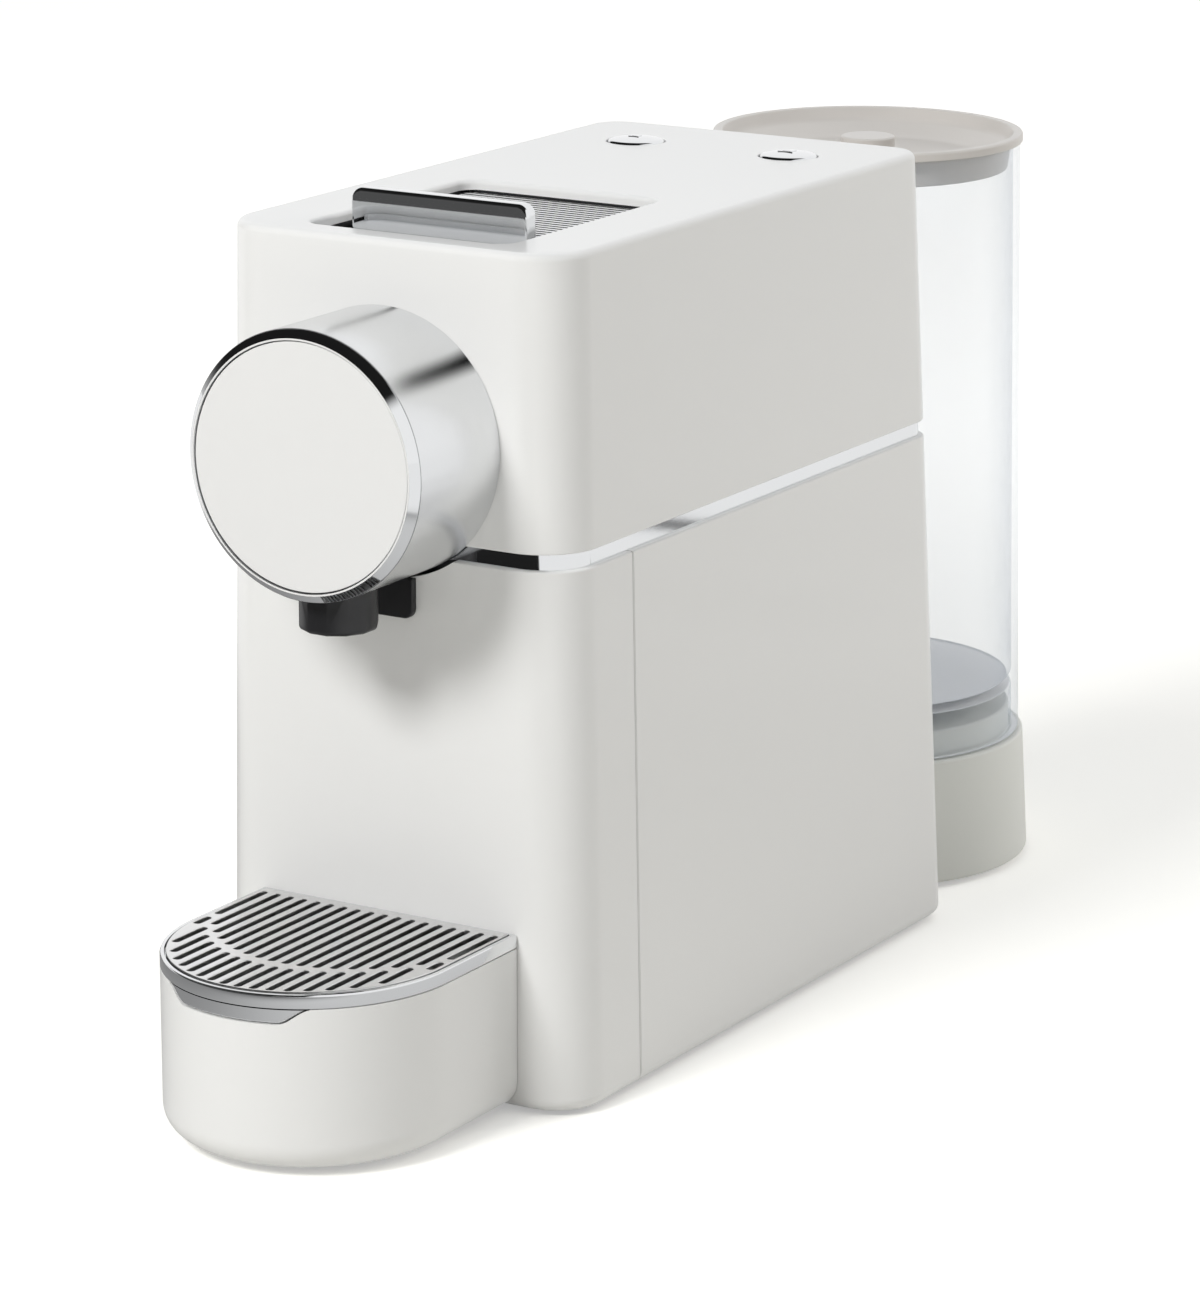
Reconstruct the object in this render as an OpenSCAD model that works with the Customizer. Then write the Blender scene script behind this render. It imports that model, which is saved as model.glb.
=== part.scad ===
// Pod coffee machine: a slim body with a sliding capsule hatch, a round brewing head,
// a pull-out drip tray with its used-capsule bin, and a round lift-off water tank behind.
// Lengths are in millimetres. +Z is up, the front faces -Y, +X is the right-hand side.
// Inside the modules y = 0 is the front face of the body; at_origin() then centres the
// whole machine on the origin.

/* [Body] */
// Width of the body at mid height
body_w = 100; // [96:1:112]
// Height of the top surface above the worktop
body_h = 208; // [204:1:222]
// Depth of the body at mid height
body_d = 186; // [182:1:204]
// How far each side leans in per millimetre of height
side_draft = 0.021; // [0.015:0.001:0.03]
// How far the back leans in per millimetre of height
rear_draft = 0.064; // [0.05:0.002:0.08]
// Radius of the two front corners, seen from above
front_corner_r = 14; // [10:1:18]
// Radius of the two rear corners, seen from above
rear_corner_r = 9; // [7:1:12]
// Rounding of the top edge
top_edge_r = 4; // [2:0.5:5]
// Rounding of the bottom edge
bottom_edge_r = 3; // [2:0.5:4]
// Wall of the moulded shells
wall = 2.5; // [2:0.1:3]
// Gap between the worktop and the shells
shell_lift = 1.5; // [1:0.1:2]
// Depth of the front panel, from the front face to its side seam
seam_y = 30.5; // [28:0.5:34]
// Open seam between two shells
seam_gap = 0.4; // [0.2:0.1:0.8]

/* [Trim band] */
// Depth of the band's lower edge below the top surface
band_z = 74.5; // [72:0.5:78]
// Height of the band
band_h = 4; // [3:0.5:5]
// How far the band lies back from the shells
band_inset = 1.4; // [1:0.1:1.8]
// Thickness of the band
band_t = 2.2; // [1.8:0.1:2.6]

/* [Frame inside] */
// Height of the rubber feet
foot_h = 2.5; // [2:0.1:4]
// Radius of the rubber feet
foot_r = 6; // [5:0.5:8]
// Thickness of the base plate
base_t = 2.5; // [2:0.1:3]
// Thickness of the deck that carries the brewing unit
deck_t = 3; // [2.5:0.5:3.5]
// Radius of the screw posts
post_r = 4; // [3.5:0.1:4.2]
// Radius of the screw holes in the posts
screw_r = 1.4; // [1:0.1:1.6]
// Distance of the bulkhead behind the drawer bay
bulkhead_y = 4.5; // [2:0.5:8]
// Thickness of the bulkhead
bulkhead_t = 3; // [2:0.5:4]
// Side clearance between pieces that are fitted together
fit = 0.3; // [0.2:0.05:0.4]
// Radial clearance of a sliding or seated round fit
round_fit = 0.08; // [0.05:0.01:0.1]

/* [Brewing head] */
// Radius of the head
head_r = 32; // [30:0.5:33]
// How far the head stands out from the front face
head_len = 35.3; // [30:0.1:38]
// Depth of the head's axis below the top surface
head_z = 47.5; // [46:0.5:48]
// Wall of the head
head_t = 2; // [1.5:0.1:2.5]
// Length of the bevelled front ring
bezel_len = 4; // [3:0.5:5]
// Width of the bevelled front ring
bezel_w = 2.5; // [2:0.1:3.5]
// Radius of the neck that joins the head to the frame
neck_r = 21.5; // [18:0.5:22]
// Radius of the coffee passage
duct_r = 3; // [2:0.5:4]

/* [Spout] */
// Radius of the twelve-sided spout
spout_r = 9.4; // [9:0.1:12]
// Distance of the spout in front of the body
spout_y = 20; // [17:0.5:21]
// Drop of the spout's mouth below the head's axis
spout_z = 41; // [40.5:0.5:45]
// Half width of the outlet bracket under the head
tab_w = 8.4; // [7:0.1:11]
// Drop of the bracket's lower edge below the head's axis
tab_z = 42.1; // [39.5:0.1:44]
// Thickness of the bracket in front of the panel
tab_t = 1.6; // [1:0.2:2]

/* [Capsule hatch] */
// Width of the hatch
hatch_w = 56; // [54:0.5:58]
// Distance of the hatch's front edge behind the front face
hatch_y = 9; // [8:0.5:11]
// Length of the hatch
hatch_len = 71; // [69:0.5:75]
// Corner radius of the hatch
hatch_r = 4.5; // [3:0.5:8]
// Width of the handle
handle_w = 49.5; // [44:0.5:52]
// Thickness of the handle
handle_t = 4.2; // [3:0.2:5]
// Distance of the handle behind the front face
handle_y = 23.5; // [21:0.5:25]
// How far the handle stands above the top
handle_rise = 6.6; // [5:0.1:9]
// Corner radius of the handle
handle_r = 3; // [2:0.5:4]
// Spacing of the slats
slat_pitch = 2.45; // [2.2:0.05:3]
// Width of a slat
slat_w = 1.75; // [1.4:0.05:2]
// Height of a slat
slat_h = 1.2; // [1:0.1:1.3]
// Depth of the slats below the top surface
slat_drop = 3.3; // [3.1:0.1:3.6]
// Thickness of the plate under the slats
carrier_t = 1.6; // [1.4:0.1:1.8]
// Length of the plate behind the handle
carrier_tail = 61; // [60:0.5:63]
// Sliding travel of the hatch
hatch_travel = 50; // [46:1:50]

/* [Brewing unit] */
// Inner radius of the capsule cup
capsule_r = 17; // [16.5:0.5:17.5]
// Outer radius of the capsule cup
cup_r = 22; // [21:0.5:22]
// Depth of the capsule space
capsule_len = 28; // [26:0.5:29]
// Radius of the brewing piston
piston_r = 14; // [12:0.5:15]
// Stroke of the brewing piston
piston_stroke = 2.5; // [1.5:0.5:2.5]
// Thickness of the frame's cheeks and front plate
cheek_t = 3; // [2.5:0.5:3]
// Thickness of the slide arms
arm_t = 3; // [2.5:0.5:3.5]
// Width of the slide arms
arm_w = 12; // [10:1:14]

/* [Buttons] */
// Radius of a button
button_r = 7.3; // [6:0.1:8]
// Distance of each button from the middle
button_x = 22.5; // [20:0.5:26]
// Distance of the buttons behind the front face
button_y = 152; // [151:0.5:154]
// Height of the dome above the top
button_rise = 1.2; // [0.8:0.1:1.6]
// Press travel of a button
button_travel = 1.5; // [1:0.1:1.6]
// Gap round a button
button_gap = 0.4; // [0.3:0.1:0.6]

/* [Drip tray] */
// Half width of the tray
tray_w = 36.2; // [34:0.2:37]
// Straight length of the tray's sides
tray_straight = 30.5; // [26:0.5:34]
// Depth of the tray's rounded front
tray_round = 38.4; // [34:0.2:42]
// Height of the ring's top
tray_top = 45.3; // [44:0.1:47]
// Height of the chrome ring
ring_h = 3.6; // [2:0.2:4]
// Width of the chrome ring
ring_w = 1.2; // [1:0.1:2]
// Half width of the finger tongue under the ring
tongue_w = 20; // [14:1:22]
// Half width of the finger tongue at its foot
tongue_tip = 12.5; // [8:0.5:13]
// Drop of the finger tongue below the ring
tongue_drop = 3.4; // [3:0.1:8]
// Thickness of the grille
grille_t = 1.8; // [1.4:0.1:2.2]
// How far the grille stands above the ring
grille_rise = 0.2; // [0:0.1:0.6]
// Spacing of the grille's slots
slot_pitch = 3.88; // [3.8:0.02:5]
// Width of a slot in the grille
slot_w = 2; // [1.6:0.1:2.4]
// Width of the grille's curved bridge
bridge_w = 3; // [2:0.5:4]
// Distance of the bridge behind the tray's front
bridge_back = 20; // [17:0.5:24]
// Distance of the slots from the body
slot_back = 4.5; // [4:0.5:8]
// Length of the used-capsule bin
bin_len = 96; // [90:1:98]
// Wall of the used-capsule bin
bin_t = 1.6; // [1.2:0.1:2]

/* [Water tank] */
// Distance of the tank's foot behind the body
tank_y = 2; // [1.5:0.1:25]
// Outer radius of the tube at its mouth
tank_top_r = 41.2; // [39:0.1:42]
// Outer radius of the tube at its foot
tank_foot_r = 44.1; // [43:0.1:44.3]
// Wall of the tank
tank_t = 2; // [1.5:0.1:2.5]
// Height of the tube's mouth
tank_mouth = 198.6; // [190:0.5:205]
// Height of the tank's floor
tank_floor = 48; // [47:0.5:54]
// Height of the base at the tank's foot
base_top = 35.5; // [33:0.5:38]
// Radius of the base on the worktop
base_r = 47.2; // [46.4:0.1:50]
// How much the base narrows from the worktop to its top
base_taper = 1.9; // [1:0.1:2]
// Height of the raised plinth inside the tank's skirt
plinth_top = 43; // [40:0.5:44]
// Thickness of the lid
lid_t = 2; // [1.5:0.1:2.4]
// Height of the lid's rim
lid_rim = 2.4; // [2:0.1:3]
// Depth of the bowl in the lid
bowl_depth = 8; // [7:0.5:10]
// Radius of the lid's knob
knob_r = 7.3; // [6:0.1:9]
// Stroke of the tank's valve
valve_stroke = 3; // [2:0.5:3]

/* [Pump and heater] */
// Radius of the pump
pump_r = 18; // [16:0.5:19]
// Length of the pump
pump_len = 62; // [56:1:66]
// Width of the heater block
heater_w = 34; // [30:1:36]
// Height of the heater block
heater_h = 84; // [76:1:90]
// Radius of the water hoses
hose_r = 3; // [2.5:0.1:3.2]
// Radius of the mains lead's opening
lead_r = 3.5; // [3:0.1:4]

/* [Hidden] */

$fn = 64;
thin = 0.01;                 // height of one slice in a hull
through = 1;                 // how far a cut runs past a face

band_low = body_h - band_z;
band_top = band_low + band_h;
deck_top = band_low;
deck_under = deck_top - deck_t;
floor_top = foot_h + base_t;
top_under = body_h - wall;
tray_len = tray_straight + tray_round;
tank_axis = back_y(base_top) + tank_y + tank_foot_r;
centre_y = (tank_axis + base_r - tray_len) / 2;

slat_top = body_h - slat_drop;
slat_under = slat_top - slat_h;
carrier_under = slat_under - carrier_t;
handle_back = handle_y + handle_t;
carrier_front = hatch_y + 2;
carrier_back = handle_back + carrier_tail;
carrier_w = hatch_w + 4;
rail_in = hatch_w / 2 + 0.5;
rail_out = carrier_w / 2 + 2.5;
rail_back = carrier_back + hatch_travel + 2;

head_axis = body_h - head_z;
spout_low = head_axis - spout_z;
tab_low = head_axis - tab_z;
spout_neck_r = duct_r + 2;
notch_z = head_axis - head_r - 1;            // where the outlet bracket passes the front panel
plate_y = wall + 0.5;                     // front plate of the brewing frame
plate_back = plate_y + cheek_t + 1;
seal_y = plate_back + 3;                  // face that the capsule cup closes on
cup_front = seal_y + fit;
cup_floor = cup_front + capsule_len;
shoulder_t = 2;
cylinder_front = cup_floor + shoulder_t;
piston_len = 10;
spring_len = piston_stroke + 1.5;
piston_head_front = cylinder_front + spring_len;
cup_back = piston_head_front + piston_len + 6;
cheek_in = cup_r + arm_t + 2;
cheek_out = cheek_in + cheek_t;
cheek_top = head_axis + cup_r + 5;
arm_y = cup_back - arm_w;
arm_in = cup_r + 0.4;
chute_in = 19.5;                          // half width of the capsule's way down
chute_t = 1.5;
chute_front = seal_y + 1;
chute_back = cup_front + capsule_len + 4;

post_x = body_w / 2 - 7.5;
post_y = [60, body_d - 20];
front_post_y = seam_y - 7.5;

bay_t = 2;
bay_in = post_x - post_r - bay_t - 2.3;   // inside of the bay, which stands between the posts
bay_back = bin_len + 3.5;
bulkhead_front = bay_back + bulkhead_y;
bulkhead_back = bulkhead_front + bulkhead_t;
bay_top = tray_top - 2;
bin_w = bay_in - 0.7;
bin_top = bay_top - bay_t - 0.8;
bin_floor = floor_top + fit;
tray_bottom = shell_lift;
rim_z = tray_top - ring_h;                // where the ring sits on the tray
grille_under = tray_top + grille_rise - grille_t;
tray_t = 2.4;
cup_bottom = 24;                          // underside of the drip cup

board_z = body_h - 20;
board_t = 1.6;
board_front = 130;
board_back = body_d - 14;
board_w = 34;
switch_h = 4.3;
stem_r = 4.5;
flange_r = button_r + 1.2;
flange_t = 1.5;
stem_bottom = board_z + board_t + switch_h + button_travel + fit;
flange_top = top_under - fit;

pump_x = -19.5;
pump_y = bulkhead_back + 27;
pump_z = 30;
heater_x = 21.4;
heater_y = bulkhead_back + 11;
heater_d = 40;
heater_z = 14;
meter_x = pump_x;
meter_y = body_d - 14;
meter_z = floor_top;
meter_r = 11;
meter_h = 16;
port_len = 3;                             // length of the nozzles that the hoses go on
neck_len = 8;                             // length of the pump's two necks
hose_gap = 0.2;                           // between a nozzle and its hose
pump_inlet = pump_z - neck_len - port_len - hose_gap;
pump_outlet = pump_z + pump_len + neck_len + port_len + hose_gap;
heater_outlet = heater_z + heater_h + port_len + 2 + hose_gap;
inlet_x = heater_x - heater_w / 2 + 7;    // the heater's inlet and outlet
inlet_y = heater_y + 8;
outlet_y = heater_y + heater_d - 10;

plinth_r = tank_foot_r - tank_t - 0.8;
socket_y = tank_axis - 16;
socket_r = 6;
neck_w = 26;                              // half width of the base's neck
neck_top = 28;
neck_front = body_d - 2;
lid_seat = tank_mouth + fit;
seat_bottom = plinth_top + 2;              // underside of the valve seat, just above its seal
plug_r = tank_top_r - tank_t - 0.4;
plug_bottom = tank_mouth - 7;

function half_w(z) = body_w / 2 + side_draft * (body_h / 2 - z);
function back_y(z) = body_d + rear_draft * (body_h / 2 - z);
// y of a point on the tray's outline, or on one inset from it, at a distance x from the middle
function tray_y(x, inset) =
    -tray_straight - (tray_round - inset) * sqrt(max(0, 1 - pow(x / (tray_w - inset), 2)));
function tank_r(z) = tank_top_r + (tank_foot_r - tank_top_r) * (tank_mouth - z) / (tank_mouth - base_top);

module at_origin() translate([0, -centre_y, 0]) children();
module both_sides() { children(); mirror([1, 0, 0]) children(); }
module along_y(y, x = 0, z = head_axis) translate([x, y, z]) rotate([-90, 0, 0]) children();
// Box from one corner to the other
module block(from, to) translate(from) cube(to - from);
module post_places(ys) for (y = ys, side = [-1, 1]) translate([side * post_x, y, 0]) children();

// One thin slice of the drafted body outline
module body_slice(z, inset) {
    front_r = front_corner_r - inset;
    rear_r = rear_corner_r - inset;
    for (side = [-1, 1]) {
        translate([side * (half_w(z) - front_corner_r), front_corner_r, z]) cylinder(r = front_r, h = thin);
        translate([side * (half_w(z) - rear_corner_r), back_y(z) - rear_corner_r, z])
            cylinder(r = rear_r, h = thin);
    }
}

// Solid with the body's outline from z0 to z1, drawn in by inset, with rounded top and bottom edges
module body_block(z0, z1, inset, top_r = 0, bottom_r = 0) {
    hull() {
        for (a = bottom_r > 0 ? [0 : 30 : 90] : [90])
            body_slice(z0 + bottom_r * (1 - sin(a)), inset + bottom_r * (1 - cos(90 - a)));
        for (a = top_r > 0 ? [0 : 18 : 90] : [90])
            body_slice(z1 - thin - top_r * (1 - sin(a)), inset + (top_r > 0 ? top_r * (1 - cos(a)) : 0));
    }
}

// Rectangle with rounded corners, centred on x and starting at y = 0
module round_rect(w, len, r) {
    translate([-w / 2 + r, 0]) square([w - 2 * r, len]);
    translate([-w / 2, r]) square([w, len - 2 * r]);
    for (x = [-w / 2 + r, w / 2 - r], y = [r, len - r]) translate([x, y]) circle(r);
}

// Ring about the z axis
module ring(r_out, r_in, h) {
    difference() {
        cylinder(r = r_out, h = h);
        translate([0, 0, -through]) cylinder(r = r_in, h = h + 2 * through);
    }
}

// Round bar from one point to the next along a route
module hose(route, r) {
    for (i = [0 : len(route) - 2]) {
        run = route[i + 1] - route[i];
        length = norm(run);
        translate(route[i]) rotate([0, acos(run[2] / length), atan2(run[1], run[0])])
            cylinder(r = r, h = length, $fn = 32);
        if (i > 0) translate(route[i]) sphere(r = r * 1.02, $fn = 32);
    }
}

// Coil spring about the z axis, standing on z = 0, drawn as one swept tube
module coil(r, wire_r, length, turns) {
    sides = 6;
    steps = 16;
    count = turns * steps;
    rise = (length - 2 * wire_r) / count;
    points = [for (i = [0 : count], k = [0 : sides - 1])
        let (a = 360 * i / steps, b = 360 * k / sides, rr = r + wire_r * cos(b))
            [rr * cos(a), rr * sin(a), wire_r + i * rise + wire_r * sin(b)]];
    skins = [for (i = [0 : count - 1], k = [0 : sides - 1])
        let (k2 = (k + 1) % sides, p = i * sides, q = p + sides) [p + k, p + k2, q + k2, q + k]];
    first = [for (k = [sides - 1 : -1 : 0]) k];
    last = [for (k = [0 : sides - 1]) count * sides + k];
    polyhedron(points, concat(skins, [first, last]), 4);
}

// ---- casing ----

module upper_shell() color("white") at_origin() {
    difference() {
        union() {
            difference() {
                body_block(band_top, body_h, 0, top_r = top_edge_r);
                body_block(band_top - through, top_under, wall);
            }
            intersection() {
                post_places(post_y) translate([0, 0, deck_top])
                    cylinder(r = post_r, h = top_under - deck_top + thin);
                body_block(deck_top, body_h - wall / 2, band_inset + band_t + fit);
            }
        }
        translate([0, hatch_y, top_under - through])
            linear_extrude(wall + 2 * through) round_rect(hatch_w, hatch_len, hatch_r);
        both_sides() translate([button_x, button_y, top_under - through])
            cylinder(r = button_r + button_gap, h = wall + 2 * through);
        along_y(-through) cylinder(r = neck_r + fit, h = wall + 2 * through);
        post_places(post_y) translate([0, 0, deck_top - through]) cylinder(r = screw_r, h = 14);
    }
}

module trim_band() color("silver") at_origin() {
    difference() {
        body_block(band_low, band_top, band_inset);
        body_block(band_low - through, band_top + through, band_inset + band_t);
        along_y(-through) cylinder(r = neck_r + fit, h = wall + 2 * through);
    }
}

module front_panel() color("white") at_origin() {
    difference() {
        union() {
            intersection() {
                difference() {
                    body_block(shell_lift, band_low, 0, bottom_r = bottom_edge_r);
                    body_block(shell_lift - through, band_low + through, wall);
                }
                block([-body_w, -through, 0], [body_w, seam_y, body_h]);
            }
            intersection() {
                both_sides() {
                    translate([post_x, front_post_y, floor_top]) cylinder(r = post_r, h = deck_under - floor_top);
                    block([post_x, front_post_y - 1, floor_top], [body_w / 2 + 3, front_post_y + 1, deck_under]);
                }
                body_block(floor_top, deck_under, wall / 2);
            }
        }
        block([-bay_in, -through, floor_top], [bay_in, wall + through, bay_top - bay_t]);
        along_y(-through) cylinder(r = head_r + 1, h = wall + 2 * through);
        block([-tab_w - fit, -through, notch_z], [tab_w + fit, wall + through, head_axis - head_r + 2]);
        both_sides() translate([post_x, front_post_y, floor_top - through]) cylinder(r = screw_r, h = 14);
    }
}

module lower_shell() color("gainsboro") at_origin() {
    difference() {
        union() {
            intersection() {
                difference() {
                    body_block(shell_lift, band_low, 0, bottom_r = bottom_edge_r);
                    body_block(shell_lift - through, band_low + through, wall);
                }
                block([-body_w, seam_y + seam_gap, 0], [body_w, body_d * 2, body_h]);
            }
            intersection() {
                for (y = post_y) both_sides() {
                    translate([post_x, y, floor_top]) cylinder(r = post_r, h = deck_under - floor_top);
                    block([post_x, y - 1, floor_top], [body_w / 2 + 3, y + 1, deck_under]);
                }
                body_block(floor_top, deck_under, wall / 2);
            }
        }
        block([-neck_w - fit, body_d - 10, 0], [neck_w + fit, body_d + 20, neck_top + fit]);
        along_y(body_d - 10, x = lead_x(), z = lead_z()) cylinder(r = lead_r + 2 + round_fit, h = 30);
        post_places(post_y) translate([0, 0, floor_top - through]) cylinder(r = screw_r, h = 14);
        post_places(post_y) translate([0, 0, deck_under - 12]) cylinder(r = screw_r, h = 14);
    }
}

function lead_x() = -(neck_w + 9);
function lead_z() = 20;

module base_plate() color("dimgray") at_origin() {
    difference() {
        union() {
            body_block(foot_h, floor_top, wall + fit);
            block([-neck_w + 4, body_d - 6, foot_h], [neck_w - 4, tank_axis + 20, floor_top]);
        }
        post_places(concat(front_post_y, post_y)) translate([0, 0, foot_h - through]) {
            cylinder(r = screw_r, h = base_t + 2 * through);
            cylinder(r = 2.8 + fit, h = through + 1.2);
        }
    }
}

module rubber_feet() color("black") at_origin() {
    for (y = [38, body_d - 34]) both_sides()
        translate([body_w / 2 - 16, y, 0]) cylinder(r = foot_r, h = foot_h);
    translate([0, tank_axis + 14, 0]) cylinder(r = foot_r, h = foot_h);
}

module deck() color("dimgray") at_origin() {
    difference() {
        union() {
            body_block(deck_under, deck_top, wall + fit);
            for (y = [board_front + 8, board_back - 8]) both_sides()
                translate([board_w - 6, y, deck_top]) cylinder(r = 3, h = board_z - deck_top);
        }
        block([-chute_in, chute_front, deck_under - through], [chute_in, chute_back, deck_top + through]);
        translate([heater_x, outlet_y, deck_under - through])
            cylinder(r = hose_r + 2, h = deck_t + 2 * through);
        translate([pump_x + 6, board_back - 10, deck_under - through])
            cylinder(r = 5, h = deck_t + 2 * through);
        post_places(concat(front_post_y, post_y)) translate([0, 0, deck_under - through])
            cylinder(r = screw_r, h = deck_t + 2 * through);
    }
}

module bulkhead() color("dimgray") at_origin() {
    difference() {
        block([-post_x + 1, bulkhead_front, floor_top], [post_x - 1, bulkhead_back, deck_under]);
        along_y(bulkhead_front - through, z = deck_under - 16) cylinder(r = 5, h = bulkhead_t + 2 * through);
    }
}

module drawer_bay() color("dimgray") at_origin() {
    difference() {
        block([-bay_in - bay_t, wall + 0.5, floor_top], [bay_in + bay_t, bay_back, bay_top]);
        block([-bay_in, 0, floor_top - through], [bay_in, bay_back - bay_t, bay_top - bay_t]);
        block([-chute_in, chute_front, bay_top - bay_t - through], [chute_in, chute_back, bay_top + through]);
    }
}

module capsule_drop() color("gray") at_origin() {
    difference() {
        block([-chute_in - chute_t, chute_front - chute_t, bay_top],
              [chute_in + chute_t, chute_back + chute_t, deck_under]);
        block([-chute_in, chute_front, bay_top - through], [chute_in, chute_back, deck_under + through]);
    }
}

module case_screws() color("silver") at_origin() {
    post_places(concat(front_post_y, post_y)) {
        translate([0, 0, foot_h]) cylinder(r = 2.8, h = 1.2);
        translate([0, 0, foot_h]) cylinder(r = screw_r - round_fit, h = 12);
    }
    post_places(post_y) translate([0, 0, deck_under - 9]) cylinder(r = screw_r - round_fit, h = 20);
}

module mains_gland() color("black") at_origin() {
    along_y(back_y(lead_z()), x = lead_x(), z = lead_z()) difference() {
        union() {
            translate([0, 0, -wall - 2.6]) cylinder(r = lead_r + 2, h = wall + 3.4);
            translate([0, 0, 0.6]) cylinder(r = lead_r + 4, h = 3);
            translate([0, 0, -wall - 2.6]) cylinder(r = lead_r + 4, h = 2);
        }
        translate([0, 0, -wall - 4]) cylinder(r = lead_r, h = wall + 12);
    }
}

// ---- brewing unit ----

module brew_frame() color("darkslategray") at_origin() {
    difference() {
        union() {
            block([-cheek_out, plate_y, deck_top], [cheek_out, plate_back, cheek_top]);
            both_sides() block([cheek_in, plate_y, deck_top], [cheek_out, cup_back + hatch_travel + 2, cheek_top]);
        }
        along_y(plate_y - through) cylinder(r = 12, h = plate_back - plate_y + 2 * through);
        block([-cheek_out - 1, 0, 0], [cheek_out + 1, band_inset + band_t + fit, band_top + fit]);
    }
}

module capsule_guide() color("gray") at_origin() {
    difference() {
        union() {
            block([-chute_in - chute_t, chute_front - chute_t, cheek_top - 1.5],
                  [chute_in + chute_t, chute_back + chute_t, carrier_under - 0.5]);
            block([-cheek_out, chute_front + 6, cheek_top], [cheek_out, chute_back - 6, cheek_top + 2.5]);
        }
        block([-chute_in, chute_front, 0], [chute_in, chute_back, body_h]);
    }
}

module outlet_block() color("dimgray") at_origin() {
    difference() {
        union() {
            along_y(-head_len + bezel_len) cylinder(r = head_r - head_t - round_fit, h = 3);
            along_y(-head_len + bezel_len + 3 - thin)
                cylinder(r = neck_r, h = head_len - bezel_len - 3 + plate_y + thin);
        }
        along_y(-spout_y) cylinder(r = duct_r, h = 40);
        translate([0, -spout_y, head_axis - neck_r - through]) cylinder(r = duct_r, h = neck_r + through);
    }
}

module outlet_plate() color("silver") at_origin() {
    difference() {
        along_y(plate_back) cylinder(r = cup_r, h = 2);
        for (a = [0 : 45 : 315], r = [5, 10])
            along_y(plate_back - through, x = r * cos(a), z = head_axis + r * sin(a))
                cylinder(r = 0.8, h = 2 + 2 * through, $fn = 16);
    }
}

module outlet_seal() color("black") at_origin()
    along_y(plate_back + 2) ring(cup_r, capsule_r + 0.5, 1);

module head_shell() color("silver") at_origin() {
    difference() {
        along_y(-head_len + bezel_len) ring(head_r, head_r - head_t, head_len - bezel_len);
        translate([0, -spout_y, head_axis - head_r - through]) cylinder(r = spout_neck_r + fit, h = head_t + 3);
    }
}

module head_bezel() color("silver") at_origin()
    along_y(-head_len) rotate_extrude()
        polygon([[head_r - bezel_w, 0], [head_r - bezel_w + 0.4, 0], [head_r, bezel_len * 0.45],
                 [head_r, bezel_len], [head_r - bezel_w, bezel_len]]);

module head_disc() color("whitesmoke") at_origin()
    along_y(-head_len + 0.5) cylinder(r = head_r - bezel_w - round_fit, h = bezel_len - 0.5);

module spout() color("black") at_origin() {
    difference() {
        union() {
            difference() {
                translate([0, -spout_y, spout_low]) rotate([0, 0, 15]) cylinder(r = spout_r, h = 16, $fn = 12);
                along_y(-spout_y - 20) cylinder(r = head_r + 0.1, h = 40);
            }
            translate([0, -spout_y, spout_low + 6])
                cylinder(r = spout_neck_r, h = head_axis - neck_r - spout_low - 6 - fit);
        }
        translate([0, -spout_y, spout_low - through]) cylinder(r = duct_r, h = 60);
    }
}

module outlet_bracket() color("black") at_origin() {
    along_y(-tab_t - 0.1, z = tab_low) linear_extrude(tab_t)
        mirror([0, 1]) round_rect(2 * tab_w, head_axis - head_r - fit - tab_low, 2.5);
    block([-tab_w, -tab_t - 0.1, notch_z + fit], [tab_w, wall + 1, head_axis - head_r - fit]);
    block([-tab_w - 8, wall + 0.1, tab_low + 2], [tab_w + 8, wall + 1, deck_under - fit]);
}

// ---- capsule hatch and what slides with it ----

module hatch_rails() color("black") at_origin() {
    both_sides() difference() {
        block([rail_in, hatch_y - 3, carrier_under - 2], [rail_out, rail_back, top_under]);
        block([rail_in - through, carrier_front - 1, carrier_under - fit],
              [carrier_w / 2 + fit, rail_back - 1, slat_under + fit]);
    }
    block([-rail_in - 1, hatch_y - 3, carrier_under - 0.2], [rail_in + 1, hatch_y - 1, top_under]);
    block([-rail_in - 1, hatch_y + hatch_len, slat_top + 0.2], [rail_in + 1, hatch_y + hatch_len + 3, top_under]);
}

module hatch_handle() color("silver") at_origin()
    translate([0, handle_back, slat_under]) rotate([90, 0, 0]) linear_extrude(handle_t) {
        translate([-handle_w / 2, 0]) square([handle_w, body_h - slat_under]);
        round_rect(handle_w, body_h + handle_rise - slat_under, handle_r);
    }

module hatch_carrier() color("gray") at_origin()
    block([-carrier_w / 2, carrier_front, carrier_under], [carrier_w / 2, carrier_back, slat_under]);

module hatch_slats() color("whitesmoke") at_origin() {
    slat_len = hatch_w - 1;
    first = handle_back + 1;
    for (y = [first : slat_pitch : carrier_back - slat_w])
        block([-slat_len / 2, y, slat_under], [slat_len / 2, y + slat_w, slat_top]);
    block([-slat_len / 2, carrier_front + 0.5, slat_under], [slat_len / 2, handle_y - 0.5, slat_top]);
}

module slide_arms() color("dimgray") at_origin() both_sides()
    block([arm_in, arm_y, head_axis - 6], [arm_in + arm_t, arm_y + arm_w, carrier_under]);

module capsule_cup() color("silver") at_origin() {
    difference() {
        union() {
            along_y(cup_front) cylinder(r = cup_r, h = cup_back - cup_front);
            both_sides() block([cup_r - 6, arm_y + 1, head_axis - 5], [arm_in, arm_y + arm_w - 1, head_axis + 5]);
            along_y(cup_back - thin) cylinder(r = hose_r - 0.5, h = 8);
        }
        along_y(cup_front - through) cylinder(r = capsule_r, h = capsule_len + through);
        along_y(cup_floor - through) cylinder(r = piston_r - 4, h = shoulder_t + 2 * through);
        along_y(cylinder_front) cylinder(r = piston_r, h = spring_len + piston_len + 2);
        along_y(cup_back - 10) cylinder(r = 1.2, h = 30);
    }
}

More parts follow.
